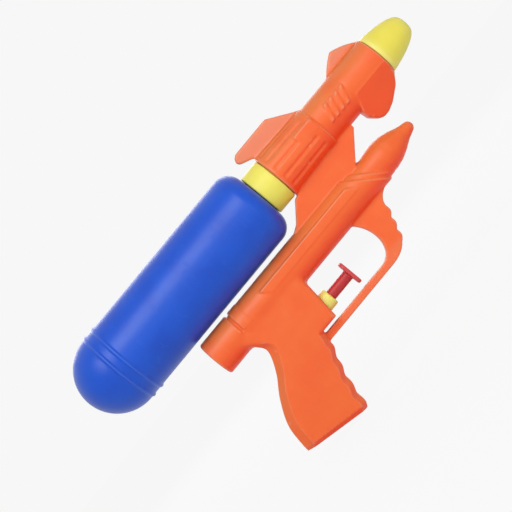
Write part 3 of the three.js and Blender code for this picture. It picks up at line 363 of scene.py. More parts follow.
def tube(route, r):
    """The outer skin of a tube along a route, open at both ends."""
    bm = bmesh.new()
    ahead = [(b - a).normalized() for a, b in zip(route[:1] + route[:-1], route[1:] + route[-1:])]
    side = ahead[0].orthogonal().normalized()
    loops = []
    for before, along, point in zip(ahead[:1] + ahead[:-1], ahead, route):
        side.rotate(before.rotation_difference(along))
        turn = Matrix((side, along.cross(side), along)).transposed().to_4x4()
        place = Matrix.Translation(point) @ turn
        ring = bmesh.ops.create_circle(bm, segments=HOSE_ROUND, radius=r, matrix=place)
        loops.append(list(dict.fromkeys(e for v in ring["verts"] for e in v.link_edges)))
    for near, far in zip(loops, loops[1:]):
        bmesh.ops.bridge_loops(bm, edges=near + far)
    return tidy(bm)


def mix(a, b, share):
    return a + (b - a) * share


# From form to mesh

def gathered(forms):
    """All the forms in one mesh, still in millimetres."""
    whole = bmesh.new()
    for form in forms:
        part = bpy.data.meshes.new("part")
        form.to_mesh(part)
        form.free()
        whole.from_mesh(part)
        bpy.data.meshes.remove(part)
    mesh = bpy.data.meshes.new("gathered")
    whole.to_mesh(mesh)
    whole.free()
    return mesh


def worked(mesh, *steps):
    """The mesh after modifiers, given as (type, settings) pairs."""
    maker = bpy.data.objects.new("maker", mesh)
    bpy.context.scene.collection.objects.link(maker)
    for kind, settings in steps:
        modifier = maker.modifiers.new(kind.lower(), kind)
        for name, value in settings.items():
            setattr(modifier, name, value)
    made = maker.evaluated_get(bpy.context.evaluated_depsgraph_get())
    result = bpy.data.meshes.new_from_object(made)
    bpy.data.objects.remove(maker)
    return result


def fused(forms, voxel, softening):
    """One skin round all the forms, with its edges softened as a mould leaves them."""
    return worked(
        gathered(forms),
        ("REMESH", {"mode": "VOXEL", "voxel_size": voxel}),
        ("SMOOTH", {"factor": 0.5, "iterations": softening}),
    )


def eased(mesh, low, high, times):
    """Smooths a mesh further between two (x, z) corners, where forms flow together."""
    bm = bmesh.new()
    bm.from_mesh(mesh)
    near = [v for v in bm.verts if low[0] < v.co.x < high[0] and low[1] < v.co.z < high[1]]
    for _ in range(times):
        bmesh.ops.smooth_vert(bm, verts=near, factor=0.5,
                              use_axis_x=True, use_axis_y=True, use_axis_z=True)
    bm.to_mesh(mesh)
    bm.free()


def cut(mesh, operation, other):
    """A boolean of two closed meshes."""
    tool = bpy.data.objects.new("tool", other)
    bpy.context.scene.collection.objects.link(tool)
    result = worked(mesh, ("BOOLEAN", {"operation": operation, "object": tool, "solver": "MANIFOLD"}))
    bpy.data.objects.remove(tool)
    return result


def joined(forms):
    """The forms made one solid."""
    meshes = [gathered([form]) for form in forms]
    whole = meshes[0]
    for other in meshes[1:]:
        whole = cut(whole, "UNION", other)
    return whole


def piece(name, mesh, body, slot, *nodes, crease=None):
    """A finished piece, moved from millimetres to metres, that stands for CAD nodes."""
    bm = bmesh.new()
    bm.from_mesh(mesh)
    bmesh.ops.remove_doubles(bm, verts=bm.verts, dist=WELD)
    bmesh.ops.scale(bm, vec=(MM, MM, MM), verts=bm.verts)
    bm.to_mesh(mesh)
    bm.free()
    mesh.name = name
    mesh.materials.clear()
    mesh.materials.append(FINISHES[slot])
    mesh.shade_smooth()
    if crease:
        mesh.set_sharp_from_angle(angle=radians(crease))
    made = bpy.data.objects.new(name, mesh)
    bpy.context.scene.collection.objects.link(made)
    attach(made, body)
    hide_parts(*nodes)
    return made


# Finishes; the scales of their patterns are in waves per metre

CLOUDS = 55
STREAKS = 130
SCUFFS = 420
SKIN_GRAIN = 2600
TUBE_CLOUDS = 160
RUBBER_GRAIN = 3200
DRAWN_GRAIN = 900
BUMP_DEPTH = 0.0002  # metres
HAZE_REACH = (1.0, 0.4, 0.25)  # red light goes deepest into the plastic
HAZE_DEPTH = 0.004  # metres
SHINE = 0.4
# Where the painted light through the thin fins and strap fades in, and the strap's share of it
FIN_FADE = 2  # millimetres, as the next two
STRAP_X = 36
STRAP_FADE = 4
STRAP_SHARE = 0.3


class Wire:
    """A shader socket that takes part in plain sums."""

    def __init__(self, nodes, socket):
        self.nodes = nodes
        self.socket = socket

    def sum(self, operation, *values):
        return self.nodes.node("ShaderNodeMath", {"operation": operation}, dict(enumerate(values)))

    def __add__(self, other):
        return self.sum("ADD", self, other)

    def __sub__(self, other):
        return self.sum("SUBTRACT", self, other)

    def __rsub__(self, other):
        return self.sum("SUBTRACT", other, self)

    def __mul__(self, other):
        return self.sum("MULTIPLY", self, other)

    __radd__ = __add__
    __rmul__ = __mul__

    def size(self):
        return self.sum("ABSOLUTE", self)

    def between(self, low, high):
        """0 below low, 1 above high and smooth in between."""
        settings = {"interpolation_type": "SMOOTHSTEP"}
        return self.nodes.node("ShaderNodeMapRange", settings, {0: self, 1: low, 2: high})


class Nodes:
    """A node tree and the ways to add to it."""

    def __init__(self, owner):
        owner.use_nodes = True
        self.tree = owner.node_tree

    def node(self, kind, settings=None, values=None, out=0):
        made = self.tree.nodes.new(kind)
        for name, value in (settings or {}).items():
            setattr(made, name, value)
        for name, value in (values or {}).items():
            self.feed(made.inputs[name], value)
        return Wire(self, made.outputs[out])

    def feed(self, socket, value):
        if isinstance(value, Wire):
            self.tree.links.new(value.socket, socket)
        else:
            socket.default_value = value

    def noise(self, scale, detail=2.0, stretch=(1, 1, 1)):
        place = self.node("ShaderNodeTexCoord", out="Object")
        place = self.node("ShaderNodeMapping", None, {"Vector": place, "Scale": stretch})
        return self.node("ShaderNodeTexNoise", None, {"Vector": place, "Scale": scale, "Detail": detail})

    def split(self, vector):
        made = self.node("ShaderNodeSeparateXYZ", None, {0: vector}).socket.node
        return [Wire(self, out) for out in made.outputs]

    def mixed(self, share, a, b):
        return self.node("ShaderNodeMix", {"data_type": "RGBA"}, {"Factor": share, 6: a, 7: b}, out=2)

    def seen(self):
        """1 for what the camera sees, also in metal and through clear plastic."""
        rays = ("Is Camera Ray", "Is Glossy Ray", "Is Transmission Ray")
        straight, mirrored, through = (self.node("ShaderNodeLightPath", out=ray) for ray in rays)
        return straight.sum("MAXIMUM", straight, mirrored.sum("MAXIMUM", mirrored, through))


class Finish(Nodes):
    """A material and its nodes."""

    def __init__(self, name):
        self.material = bpy.data.materials.new(name)
        super().__init__(self.material)
        self.shader = self.tree.nodes["Principled BSDF"]

    def set(self, **values):
        for name, value in values.items():
            self.feed(self.shader.inputs[name.replace("_", " ").title()], value)


def tone(red, green, blue):
    """A screen colour from 0 to 255 as a shader colour."""
    def linear(v):
        v /= 255
        return v / 12.92 if v <= 0.04045 else ((v + 0.055) / 1.055) ** 2.4
    return (linear(red), linear(green), linear(blue), 1)


def thin_parts(finish):
    """1 on the fins and less on the strap, which are thin enough to let light through."""
    place = finish.node("ShaderNodeTexCoord", out="Object")
    along, across, height = finish.split(place)
    narrow = 1 - across.size().between(1.1 * FIN_HALF * MM, 1.6 * FIN_HALF * MM)
    root = UPPER_Z + HEAD_R
    fins = narrow * height.between(root * MM, (root + FIN_FADE) * MM)
    top = LOWER_Z - GUARD_DROP
    low = 1 - height.between(top * MM, (top + STRAP_FADE) * MM)
    strap = low * along.between(STRAP_X * MM, (STRAP_X + STRAP_FADE) * MM)
    return fins + strap * STRAP_SHARE


def painted_slope_light(finish, main, above, below):
    """Painted light and shade: the colour drifts to a lit tone on faces that look up and to a shaded
    tone on faces that look down.
    """
    _, _, up = finish.split(finish.node("ShaderNodeTexCoord", out="Normal"))
    colour = finish.mixed(up.between(0, 0.9), main, above)
    return finish.mixed(1 - up.between(-0.9, 0), colour, below)


def moulded(name, main, deep, pale, roughness, grain, haze, slope_light_and_shade=None, thin=0.0):
    """Moulded plastic: clouded colour, a fine skin and faint scuffs, with painted highlights on sharp
    edges and painted shade in hollows, and where asked painted light and shade by facing and painted
    light through thin parts.
    """
    finish = Finish(name)
    # Painted light and shade by facing: a lit tone on faces that look up, a shaded tone on faces that
    # look down
    if slope_light_and_shade:
        main = painted_slope_light(finish, main, *slope_light_and_shade)
    cloud = finish.noise(CLOUDS, 4)
    streak = finish.noise(STREAKS, 3, (0.3, 1, 1))
    skin = finish.noise(SKIN_GRAIN, 2)
    scuff = finish.noise(SCUFFS, 5, (1, 1, 0.12)).between(0.6, 0.72)
    # Painted highlight on sharp convex edges and painted shade in hollows and creases, both found from
    # the mesh's pointiness
    bent = finish.node("ShaderNodeNewGeometry", out="Pointiness")
    edge = bent.between(0.507, 0.535)
    hollow = 1 - bent.between(0.42, 0.495)
    dark = cloud.between(0.35, 0.75) * 0.35 + streak.between(0.4, 0.7) * 0.12
    colour = finish.mixed(dark, main, deep)
    colour = finish.mixed(hollow * 0.6, colour, deep)
    # The paler tone: a painted highlight on edges, plus real scuffs
    painted_light_and_scuffs = edge * 0.45 + scuff * 0.1
    # Painted light through the thin fins and strap, in the same paler tone
    if thin:
        painted_light_and_scuffs = painted_light_and_scuffs.sum("MAXIMUM", painted_light_and_scuffs, thin_parts(finish) * thin)
    colour = finish.mixed(painted_light_and_scuffs, colour, pale)
    bump = finish.node("ShaderNodeBump", None, {
        "Strength": grain, "Distance": BUMP_DEPTH, "Height": skin + streak * 0.6 + cloud * 2})
    finish.set(
        base_color=colour,
        roughness=roughness + cloud * 0.1 + scuff * 0.2,
        normal=bump,
        subsurface_weight=haze,
        subsurface_scale=HAZE_DEPTH,
    )
    finish.shader.inputs["Subsurface Radius"].default_value = HAZE_REACH
    finish.shader.inputs["Specular IOR Level"].default_value = SHINE
    return finish.material


def tube_vinyl(name):
    """Soft, milky tube, a little see-through."""
    finish = Finish(name)
    cloud = finish.noise(TUBE_CLOUDS, 3)
    finish.set(
        base_color=finish.mixed(cloud, tone(206, 214, 208), tone(182, 192, 186)),
        roughness=0.28 + cloud * 0.14,
        transmission_weight=0.35,
    )
    return finish.material


def dull_rubber(name):
    finish = Finish(name)
    skin = finish.noise(RUBBER_GRAIN, 3)
    bump = finish.node("ShaderNodeBump", None, {
        "Strength": 0.3, "Distance": BUMP_DEPTH, "Height": skin})
    finish.set(
        base_color=finish.mixed(skin, tone(22, 22, 23), tone(46, 46, 47)),
        roughness=0.72 + skin * 0.16,
        normal=bump,
    )
    return finish.material


def zinc_plate(name):
    """Bright plated steel with a fine drawn grain."""
    finish = Finish(name)
    grain = finish.noise(DRAWN_GRAIN, 4, (1, 0.1, 1))
    bump = finish.node("ShaderNodeBump", None, {
        "Strength": 0.15, "Distance": BUMP_DEPTH / 2, "Height": grain})
    finish.set(
        base_color=finish.mixed(grain, tone(196, 200, 205), tone(168, 172, 180)),
        metallic=1.0,
        roughness=0.24 + grain * 0.18,
        normal=bump,
    )
    return finish.material


# Each moulded finish: a main tone, a deeper tone for random mottling and painted shade in hollows, and a
# paler tone for painted edge highlights, scuffs and painted light through thin parts
FINISHES = {
    "orange_body": moulded(
        "orange_body", tone(243, 107, 46), tone(236, 84, 34), tone(230, 148, 118),
        roughness=0.34, grain=0.12, haze=0.16,
        # Painted light on faces that look up and painted shade on faces that look down, in these two
        # tones; painted light through the thin fins and strap
        slope_light_and_shade=(tone(226, 122, 62), tone(255, 72, 26)), thin=0.62),
    "blue_bottle": moulded(
        "blue_bottle", tone(6, 80, 200), tone(5, 56, 172), tone(84, 126, 222),
        roughness=0.31, grain=0.08, haze=0.05),
    "yellow_trim": moulded(
        "yellow_trim", tone(236, 226, 92), tone(226, 202, 62), tone(242, 238, 150),
        roughness=0.36, grain=0.1, haze=0.2),
    "red_trigger": moulded(
        "red_trigger", tone(192, 48, 50), tone(158, 34, 40), tone(222, 96, 96),
        roughness=0.36, grain=0.1, haze=0.1),
    "natural_plastic": moulded(
        "natural_plastic", tone(236, 234, 226), tone(220, 216, 204), tone(246, 245, 240),
        roughness=0.44, grain=0.05, haze=0.2),
    "hose": tube_vinyl("hose"),
    "rubber": dull_rubber("rubber"),
    "steel": zinc_plate("steel"),
}


# Body

def bell_ring(x, radius, depth):
    points = []
    steps = FLUTE_STEPS * FLUTES
    for i in range(steps):
        angle = 2 * pi * i / steps
        groove = max(0, cos(FLUTES * angle + FLUTE_TURN) - FLUTE_LAND) / (1 - FLUTE_LAND)
        r = radius - depth * groove
        points.append((x, r * sin(angle), UPPER_Z + r * cos(angle)))
    return points


def bell():
    def ring_at(x, depth):
        return bell_ring(x, mix(BELL_R, BELL_R - BELL_TAPER, (x - BELL_X) / BELL_LENGTH), depth)

    start = BELL_X + BELL_LIP
    end = BELL_END_X - 2 * BELL_LIP
    return loft([
        bell_ring(BELL_X, BELL_R - FLUTE_DEPTH, 0),
        ring_at(BELL_X + FLUTE_DEPTH, 0),
        ring_at(start, 0),
        ring_at(start + FLUTE_RUN, FLUTE_DEPTH),
        ring_at(end - FLUTE_RUN, FLUTE_DEPTH),
        ring_at(end, 0),
        ring_at(BELL_END_X, 0),
    ])


def waist_and_head():
    step = HEAD_R - WAIST_R
    return turned([
        (BELL_END_X - WALL, 0),
        (BELL_END_X - WALL, WAIST_R),
        (HEAD_X, WAIST_R),
        (HEAD_X + 2 * step, HEAD_R),
        (HEAD_END_X - step, HEAD_R),
        (HEAD_END_X, HEAD_R - step),
        (HEAD_END_X, 0),
    ], UPPER_Z)


def side_relief():
    """Slanted ribs on both sides of the waist, and the raised panel on the bell."""
    forms = []
    pitch = 0.17 * WAIST_LENGTH
    lean = 0.3 * WAIST_R
    tall = 0.36 * WAIST_R
    for i in range(WAIST_RIBS):
        x = HEAD_X - (WAIST_RIBS - i) * pitch - 0.02 * WAIST_LENGTH
        low = (x - lean / 2, UPPER_Z - tall)
        high = (x + lean / 2, UPPER_Z + tall)
        thick = pitch / 2
        outline = [low, (low[0] + thick, low[1]), (high[0] + thick, high[1]), high]
        forms.append(plate(outline, WAIST_R + PAD_RISE / 2))
    end = BELL_END_X - PAD_RISE
    start = end - 0.38 * BELL_LENGTH
    top = UPPER_Z + 0.42 * BELL_R
    base = UPPER_Z - 0.06 * BELL_R
    forms.append(plate([(start, base), (end, base), (end, top), (start, top)],
                       BELL_R - BELL_TAPER + PAD_RISE / 2, PAD_RISE))
    return forms


def rear_fin():
    root = UPPER_Z + BELL_R - WALL
    top = UPPER_Z + REAR_FIN
    tip_x = BELL_X - REAR_FIN_OUT
    tip = (tip_x, top - REAR_FIN_DROP)
    return plate([
        (BELL_X + 2 * WALL, root),
        (BELL_X + WALL, UPPER_Z + BELL_R),
        tip,
        *bend([tip, (tip_x - REAR_FIN_DROP / 2, top - REAR_FIN_DROP / 2), (tip_x + WALL, top)]),
        (BELL_X + REAR_FIN_TOP, top),
        (BELL_END_X - BELL_TAPER, UPPER_Z + BELL_R - BELL_TAPER / 2),
        (BELL_END_X + WALL, UPPER_Z + WAIST_R - WALL / 2),
        (BELL_END_X - WALL, root - BELL_TAPER),
    ], FIN_HALF)


def head_fin():
    root = UPPER_Z + HEAD_R - WALL
    top = UPPER_Z + HEAD_FIN
    shoulder = top - 2 * FIN_HALF
    crest_x = HEAD_X + HEAD_FIN_CREST
    rear = (HEAD_X - FIN_HALF, UPPER_Z + HEAD_R)
    crest = (crest_x, top)
    front = (HEAD_END_X - FIT, UPPER_Z + HEAD_R - FIN_EDGE)
    return plate([
        (HEAD_X - FIN_HALF, root),
        rear,
        *bend([rear, (crest_x - 0.6 * HEAD_FIN_CREST, shoulder), crest]),
        *bend([crest, (crest_x + 0.85 * HEAD_FIN_CREST, shoulder), front]),
        (HEAD_END_X - FIT, root),
    ], FIN_HALF)


def keel():
    """Flat flanks from a crease on the head down to the thin keel edge."""
    crease = 0.34 * HEAD_R
    broad = sqrt(HEAD_R ** 2 - crease ** 2) + PAD_RISE / 2
    edge_rear = HEAD_X + KEEL_EDGE_X
    edge_front = edge_rear + KEEL_EDGE
    tail = HEAD_X - KEEL_TAIL
    front = HEAD_END_X - PAD_RISE
    levels = [
        (crease, HEAD_X + PAD_RISE, front),
        (HEAD_R, tail, mix(front, edge_front, 0.04)),
        (mix(HEAD_R, KEEL, 0.4), tail, mix(front, edge_front, 0.25)),
        (mix(HEAD_R, KEEL, 0.84), mix(tail, edge_rear, 0.55), mix(front, edge_front, 0.7)),
        (KEEL, edge_rear, edge_front),
    ]
    rings = []
    for drop, near, far in levels:
        y = mix(broad, FIN_HALF, (drop - crease) / (KEEL - crease))
        z = UPPER_Z - drop
        rings.append([(near, -y, z), (far, -y, z), (far, y, z), (near, y, z)])
    return loft(rings)


def behind_slant(bm, x):
    """What is left of a barrel behind a slanted plane through x on its axis."""
    cutting = bmesh.ops.bisect_plane(
        bm, geom=bm.verts[:] + bm.edges[:] + bm.faces[:], dist=WELD,
        plane_co=(x, 0, LOWER_Z), plane_no=(1, 0, 1), clear_outer=True)
    rim = [e for e in cutting["geom_cut"] if isinstance(e, bmesh.types.BMEdge)]
    bmesh.ops.contextual_create(bm, geom=rim)
    return tidy(bm)


def lower_barrel():
    ring_end = LOWER_REAR_X + REAR_RING
    ring_r = LOWER_R + RING_STEP
    groove_r = LOWER_R - RING_GROOVE
    second_end = ring_end + 2 * GROOVE_WIDTH + SECOND_RING
    slant = NOSE_X - 0.65 * LOWER_R
    thick = turned([
        (LOWER_REAR_X, 0),
        *arc(LOWER_REAR_X + RING_EDGE, ring_r - RING_EDGE, RING_EDGE, 180, 90, 6),
        (ring_end, ring_r),
        (ring_end + RING_STEP, groove_r),
        (ring_end + GROOVE_WIDTH, groove_r),
        (ring_end + GROOVE_WIDTH + RING_STEP, ring_r),
        (second_end, ring_r),
        (second_end + RING_STEP, LOWER_R),
        (NOSE_X + LOWER_R, LOWER_R),
        (NOSE_X + LOWER_R, 0),
    ], LOWER_Z)
    lip = turned(rod(ring_end, NOSE_X + LOWER_R, (LOWER_R + NOSE_NECK_R) / 2), LOWER_Z)
    panel_base = LOWER_Z - 0.05 * LOWER_R
    panel_top = LOWER_Z + 0.48 * LOWER_R
    panel = plate([
        (second_end + 1.65 * LOWER_R, panel_base),
        (slant - 0.4 * LOWER_R, panel_base),
        (slant - LOWER_R, panel_top),
        (second_end + 1.25 * LOWER_R, panel_top),
    ], LOWER_R + PAD_RISE / 2, PAD_RISE)
    return [behind_slant(thick, slant), behind_slant(lip, slant + 0.4 * LOWER_R), panel]


def nose(inset):
    tip = NOSE_TIP_R - inset
    end = NOSE_X + NOSE_LENGTH
    return turned([
        (NOSE_X - 2 * LOWER_R, 0),
        (NOSE_X - 2 * LOWER_R, NOSE_NECK_R - inset),
        (NOSE_X, NOSE_NECK_R - inset),
        (NOSE_X + 0.16 * NOSE_LENGTH, NOSE_R - 0.2 - inset),
        (NOSE_X + 0.3 * NOSE_LENGTH, NOSE_R - inset),
        (NOSE_X + 0.46 * NOSE_LENGTH, NOSE_R - 0.7 - inset),
        (NOSE_X + 0.62 * NOSE_LENGTH, 0.74 * NOSE_R - inset),
        (NOSE_X + 0.77 * NOSE_LENGTH, 0.5 * NOSE_R - inset),
        (NOSE_X + 0.86 * NOSE_LENGTH, 1.12 * NOSE_TIP_R - inset),
        *arc(end - tip - inset, 0, tip, 80, 0, 12),
    ], LOWER_Z)


def web(inset):
    """The web between the barrels, which runs up and forward; its rear foot spreads on the barrel."""
    low = LOWER_Z + LOWER_R / 2
    high = UPPER_Z - WAIST_R / 2
    rear_x = BELL_X - WEB_REAR + inset * 1.5
    front_x = BELL_END_X + WEB_FRONT - inset * 1.5
    rear_z = UPPER_Z - BELL_R
    foot = LOWER_Z + LOWER_R
    foot_x = rear_x + WEB_SLOPE * (foot - rear_z)
    return plate([
        (foot_x - WEB_HALF + inset, low),
        (foot_x - WEB_HALF / 2 + inset, foot),
        (foot_x + WALL, foot + WALL),
        (rear_x, rear_z),
        (BELL_X + WALL + inset, rear_z),
        (BELL_X + 2 * WALL + inset, high),
        (front_x, high),
        (front_x, rear_z),
        (front_x + WEB_SLOPE * (low - rear_z), low),
    ], WEB_HALF - inset)


def back_rail():
    """The back of the grip, a little rounder than the solid's."""
    def along(share, swell):
        return mix(TANG_X, HEEL_X, share) - swell, mix(TANG_DROP, HEEL_DROP, share)

    return rail([
        (TANG_X - TANG_ROOT, -GRIP_TOP),
        (TANG_X - 0.1 * TANG_ROOT, LOWER_R + 0.1 * TANG_ROOT),
        (TANG_X + 0.22 * TANG_ROOT, TANG_DROP - 0.4),
        along(0.21, -0.8),
        along(0.42, 0.68 * BACK_SWELL),
        along(0.68, 0.98 * BACK_SWELL),
        (HEEL_X, HEEL_DROP),
    ])


def front_rail():
    """Straight down inside the housing to the neck, then along the finger side."""
    neck_x = HOUSING_FRONT_X - NECK_IN
    neck_drop = GUARD_DROP + GUARD_BAR
    top_x = HOUSING_FRONT_X - GUARD_BAR
    inside = [(mix(top_x, neck_x, i / 4), mix(-GRIP_TOP, neck_drop, i / 4)) for i in range(5)]
    return rail([
        *inside,
        (mix(neck_x, TOE_X, 0.62), mix(neck_drop, TOE_DROP, 0.48)),
        (TOE_X, TOE_DROP),
    ])


def grip_ring(back, front, half, inset, share):
    """A section across the grip from back to front, with its corners cut off by a share."""
    inward = (front - back).normalized()
    back_cut = back + inward * share * (BACK_CUT - inset / 2)
    front_cut = front - inward * share * (FRONT_CUT - inset / 2)
    low = half - share * CUT_DEPTH
    upper = [(back, low), (back_cut, half), (front_cut, half), (front, low)]
    under = [(p, -y) for p, y in reversed(upper)]
    return [(p.x, y, p.y) for p, y in upper + under]


def grip(inset, sections):
    back = back_rail()
    front = front_rail()
    end = 1 - inset / (HEEL_DROP - TANG_DROP) / 2
    base_from = end - 0.8 * BASE_CUT / (HEEL_DROP - TANG_DROP)
    fingers_from = 0.66
    rings = []
    for i in range(sections + 1):
        at_base = i == sections
        share = end if at_base else base_from * i / (sections - 1)
        rear, fore = back(share), front(share)
        inward = (fore - rear).normalized()
        finger = max(0, (share - fingers_from) / (1 - fingers_from))
        swell = 0 if inset else FINGER_SWELL * sin(pi * FINGERS * finger) ** 2
        half = GRIP_HALF - inset - (BASE_CUT if at_base else 0)
        rings.append(grip_ring(rear + inward * inset, fore + inward * (swell - inset),
                               half, inset, min(1, CUT_START + CUT_GROWTH * share)))
    return loft(rings)


def housing(inset):
    top = LOWER_Z + GRIP_TOP
    bottom = LOWER_Z - HOUSING_DROP + inset
    rear = HOUSING_FRONT_X - HOUSING_LENGTH
    return plate([
        (rear, bottom),
        (HOUSING_FRONT_X - HOUSING_RAKE - inset, bottom),
        (HOUSING_FRONT_X - inset, LOWER_Z - LOWER_R),
        (HOUSING_FRONT_X - inset, top),
        (rear, top),
    ], GRIP_HALF - inset, 0 if inset else HOUSING_EDGE)


def guard():
    """The strap under the finger gap that sweeps up to the barrel, with bumps in front."""
    def z(drop):
        return LOWER_Z - drop

    bottom = GUARD_DROP + GUARD_BAR
    inside = LOWER_R * 0.6
    tail = HOUSING_FRONT_X - 5 * GUARD_BAR
    sweep = (GUARD_REACH - 1.5 * GUARD_BAR, z(bottom))
    bump_from = Vector((GUARD_REACH + GUARD_FOOT, z(GUARD_DROP)))
    bump_to = Vector((GUARD_REACH + GUARD_HEAD, z(LOWER_R + 1.5 * GUARD_BAR)))
    run = (bump_to - bump_from).normalized()
    across = Vector((run.y, -run.x))
    bumps = []
    steps = BUMP_STEPS * GUARD_BUMPS
    for i in range(1, steps + 1):
        rise = GUARD_BUMP * abs(sin(pi * GUARD_BUMPS * i / steps))
        bumps.append(tuple(bump_from.lerp(bump_to, i / steps) + across * rise))
    turn = (LOWER_R + GUARD_DROP) / 2
    lift = (GUARD_DROP - LOWER_R) / 4
    upper = (GUARD_REACH - 2 * GUARD_BAR, z(inside))
    front = (GUARD_REACH, z(turn))
    root = (NOSE_X - 0.25 * GUARD_BAR, z(LOWER_R - 0.15 * GUARD_BAR))
    round_x = GUARD_REACH - 0.75 * GUARD_BAR
    return plate([
        (tail, z(bottom)),
        sweep,
        *bend([sweep, (GUARD_REACH + 0.5 * GUARD_BAR, z(bottom)), tuple(bump_from)]),
        *bumps,
        *bend([bumps[-1], (GUARD_REACH + 4 * GUARD_BAR, z(LOWER_R + 0.3 * GUARD_BAR)), root]),
        (NOSE_X - GUARD_BAR, z(inside)),
        upper,
        *bend([upper, (round_x, z(LOWER_R)), (GUARD_REACH, z(turn - lift)), front]),
        *bend([front, (GUARD_REACH, z(turn + lift)), (round_x, z(GUARD_DROP)),
               (GUARD_REACH - 2.5 * GUARD_BAR, z(GUARD_DROP))]),
        (tail, z(GUARD_DROP)),
    ], GUARD_HALF, GUARD_EDGE)


def body_skin():
    skin = fused([
        bell(), waist_and_head(), *side_relief(), rear_fin(), head_fin(), keel(), web(0),
        *lower_barrel(), nose(0), grip(0, GRIP_SECTIONS), housing(0), guard(),
    ], SKIN_VOXEL, SKIN_SOFTENING)
    # Each area by its low and high (x, z) corners
    grip_root = ((TANG_X - TANG_ROOT, LOWER_Z - 1.2 * LOWER_R),
                 (HOUSING_FRONT_X + WALL, LOWER_Z - 0.1 * LOWER_R))
    web_edges = ((BELL_X - 2 * BELL_R, LOWER_Z + LOWER_R), (HEAD_X, UPPER_Z - BELL_R))
    fin_edges = ((0, UPPER_Z + BELL_R + FIT), (HEAD_END_X, UPPER_Z + 2 * BELL_R))
    keel_edges = ((HEAD_X - WALL - KEEL_TAIL, UPPER_Z - 2 * KEEL), (HEAD_END_X, UPPER_Z - HEAD_R - FIT))
    eased(skin, *grip_root, ROOT_SOFTENING)
    for edges in (web_edges, fin_edges, keel_edges):
        eased(skin, *edges, EDGE_SOFTENING)
    return skin


def in_mm(node):
    """A node's low and high corners in millimetres."""
    low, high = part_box(node)
    return low / MM, high / MM


def round_node(node):
    """A turned node's two ends along X, the height of its axis and its largest radius."""
    low, high = in_mm(node)
    return low.x, high.x, (low.z + high.z) / 2, (high.z - low.z) / 2


def screw_places():
    places = []
    for node in sorted(n for n in frame["nodes"] if n.startswith("body_screw")):
        low, high = in_mm(node)
        places.append((node, (low.x + high.x) / 2, (low.z + high.z) / 2))
    return places


def body_room():
    """The hollow inside the body, with posts left in it for the screws."""
    bell_bore = BELL_R - BELL_TAPER - WALL
    waist_bore = WAIST_R - WALL
    head_bore = HEAD_R - WALL
    upper = turned([
        (BELL_X - WALL, 0),
        (BELL_X - WALL, bell_bore),
        (BELL_END_X - 2 * WALL, bell_bore),
        (BELL_END_X, waist_bore),
        (HEAD_X, waist_bore),
        (HEAD_X + WALL, head_bore),
        (HEAD_END_X + WALL, head_bore),
        (HEAD_END_X + WALL, 0),
    ], UPPER_Z)
    bush_rear, bush_front, bush_z, bush_r = round_node("gland_bush")
    bush_hole = turned(rod(bush_rear, bush_front, bush_r + FIT), bush_z)
    room = fused([
        upper,
        turned(rod(LOWER_REAR_X + WALL, NOSE_X - LOWER_R, LOWER_R - WALL), LOWER_Z),
        nose(WALL), grip(WALL, ROOM_SECTIONS), housing(WALL), web(WEB_WALL), bush_hole,
    ], ROOM_VOXEL, 0)
    post_r = SCREW_HEAD_R + FIT + BOSS_WALL
    posts = [turned_across(rod(-2 * BELL_R, 2 * BELL_R, post_r), x, z) for _, x, z in screw_places()]
    return cut(room, "DIFFERENCE", gathered(posts))


def body_halves():
    shell = cut(body_skin(), "DIFFERENCE", body_room())
    tip = SCREW_SEAT_Y - SCREW_LENGTH - FIT
    bore = rod(tip, SCREW_SEAT_Y + FIT, SCREW_R + FIT)
    recess = rod(SCREW_SEAT_Y, FAR, SCREW_HEAD_R + FIT)
    for hole in (bore, recess):
        drills = [turned_across(hole, x, z) for _, x, z in screw_places()]
        shell = cut(shell, "DIFFERENCE", gathered(drills))
    for name, y in (("right_shell", -1), ("left_shell", 1)):
        near, rim = sorted((y * SEAM, y * FAR))
        side = gathered([block((-FAR, near, -FAR), (FAR, rim, FAR))])
        half = cut(shell.copy(), "INTERSECT", side)
        piece(name + "_skin", half, "body", "orange_body", name, crease=CREASE)


def screws():
    top = SCREW_SEAT_Y + SCREW_HEAD
    tip = SCREW_SEAT_Y - SCREW_LENGTH
    low, high = top - SCREW_RECESS, top + SCREW_RECESS
    reach = 0.62 * SCREW_HEAD_R
    for node, x, z in screw_places():
        head = turned_across([
            (tip, 0),
            (tip + SCREW_R, SCREW_R),
            (SCREW_SEAT_Y, SCREW_R),
            (SCREW_SEAT_Y, SCREW_HEAD_R),
            *arc(top - SCREW_HEAD / 2, SCREW_HEAD_R - SCREW_HEAD / 2, SCREW_HEAD / 2, 90, 0, 6),
            (top, 0),
        ], x, z)
        cross = joined([
            block((x - reach, low, z - SCREW_SLOT), (x + reach, high, z + SCREW_SLOT)),
            block((x - SCREW_SLOT, low, z - reach), (x + SCREW_SLOT, high, z + reach)),
        ])
        mesh = cut(gathered([head]), "DIFFERENCE", cross)
        piece(node + "_plated", mesh, "body", "steel", node, crease=SCREW_CREASE)


# Bottle, collar, nozzle, bush and trigger

def neck_thread(front, z):
    """The thread round the bottle's neck."""
    bm = bmesh.new()
    start = front + THREAD_PITCH / 2
    root, crest = NECK_R - THREAD_RISE, NECK_R + THREAD_RISE
    corners = [(start - THREAD_FOOT, root), (start - THREAD_CREST, crest),
               (start + THREAD_CREST, crest), (start + THREAD_FOOT, root)]
    face = bm.faces.new([bm.verts.new((x, 0, z + r)) for x, r in corners])
    bmesh.ops.spin(bm, geom=[face] + face.edges[:] + face.verts[:], cent=(0, 0, z), axis=(1, 0, 0),
                   dvec=(THREAD_PITCH * THREAD_TURNS / THREAD_STEPS, 0, 0),
                   angle=2 * pi * THREAD_TURNS, steps=THREAD_STEPS)
    return tidy(bm)


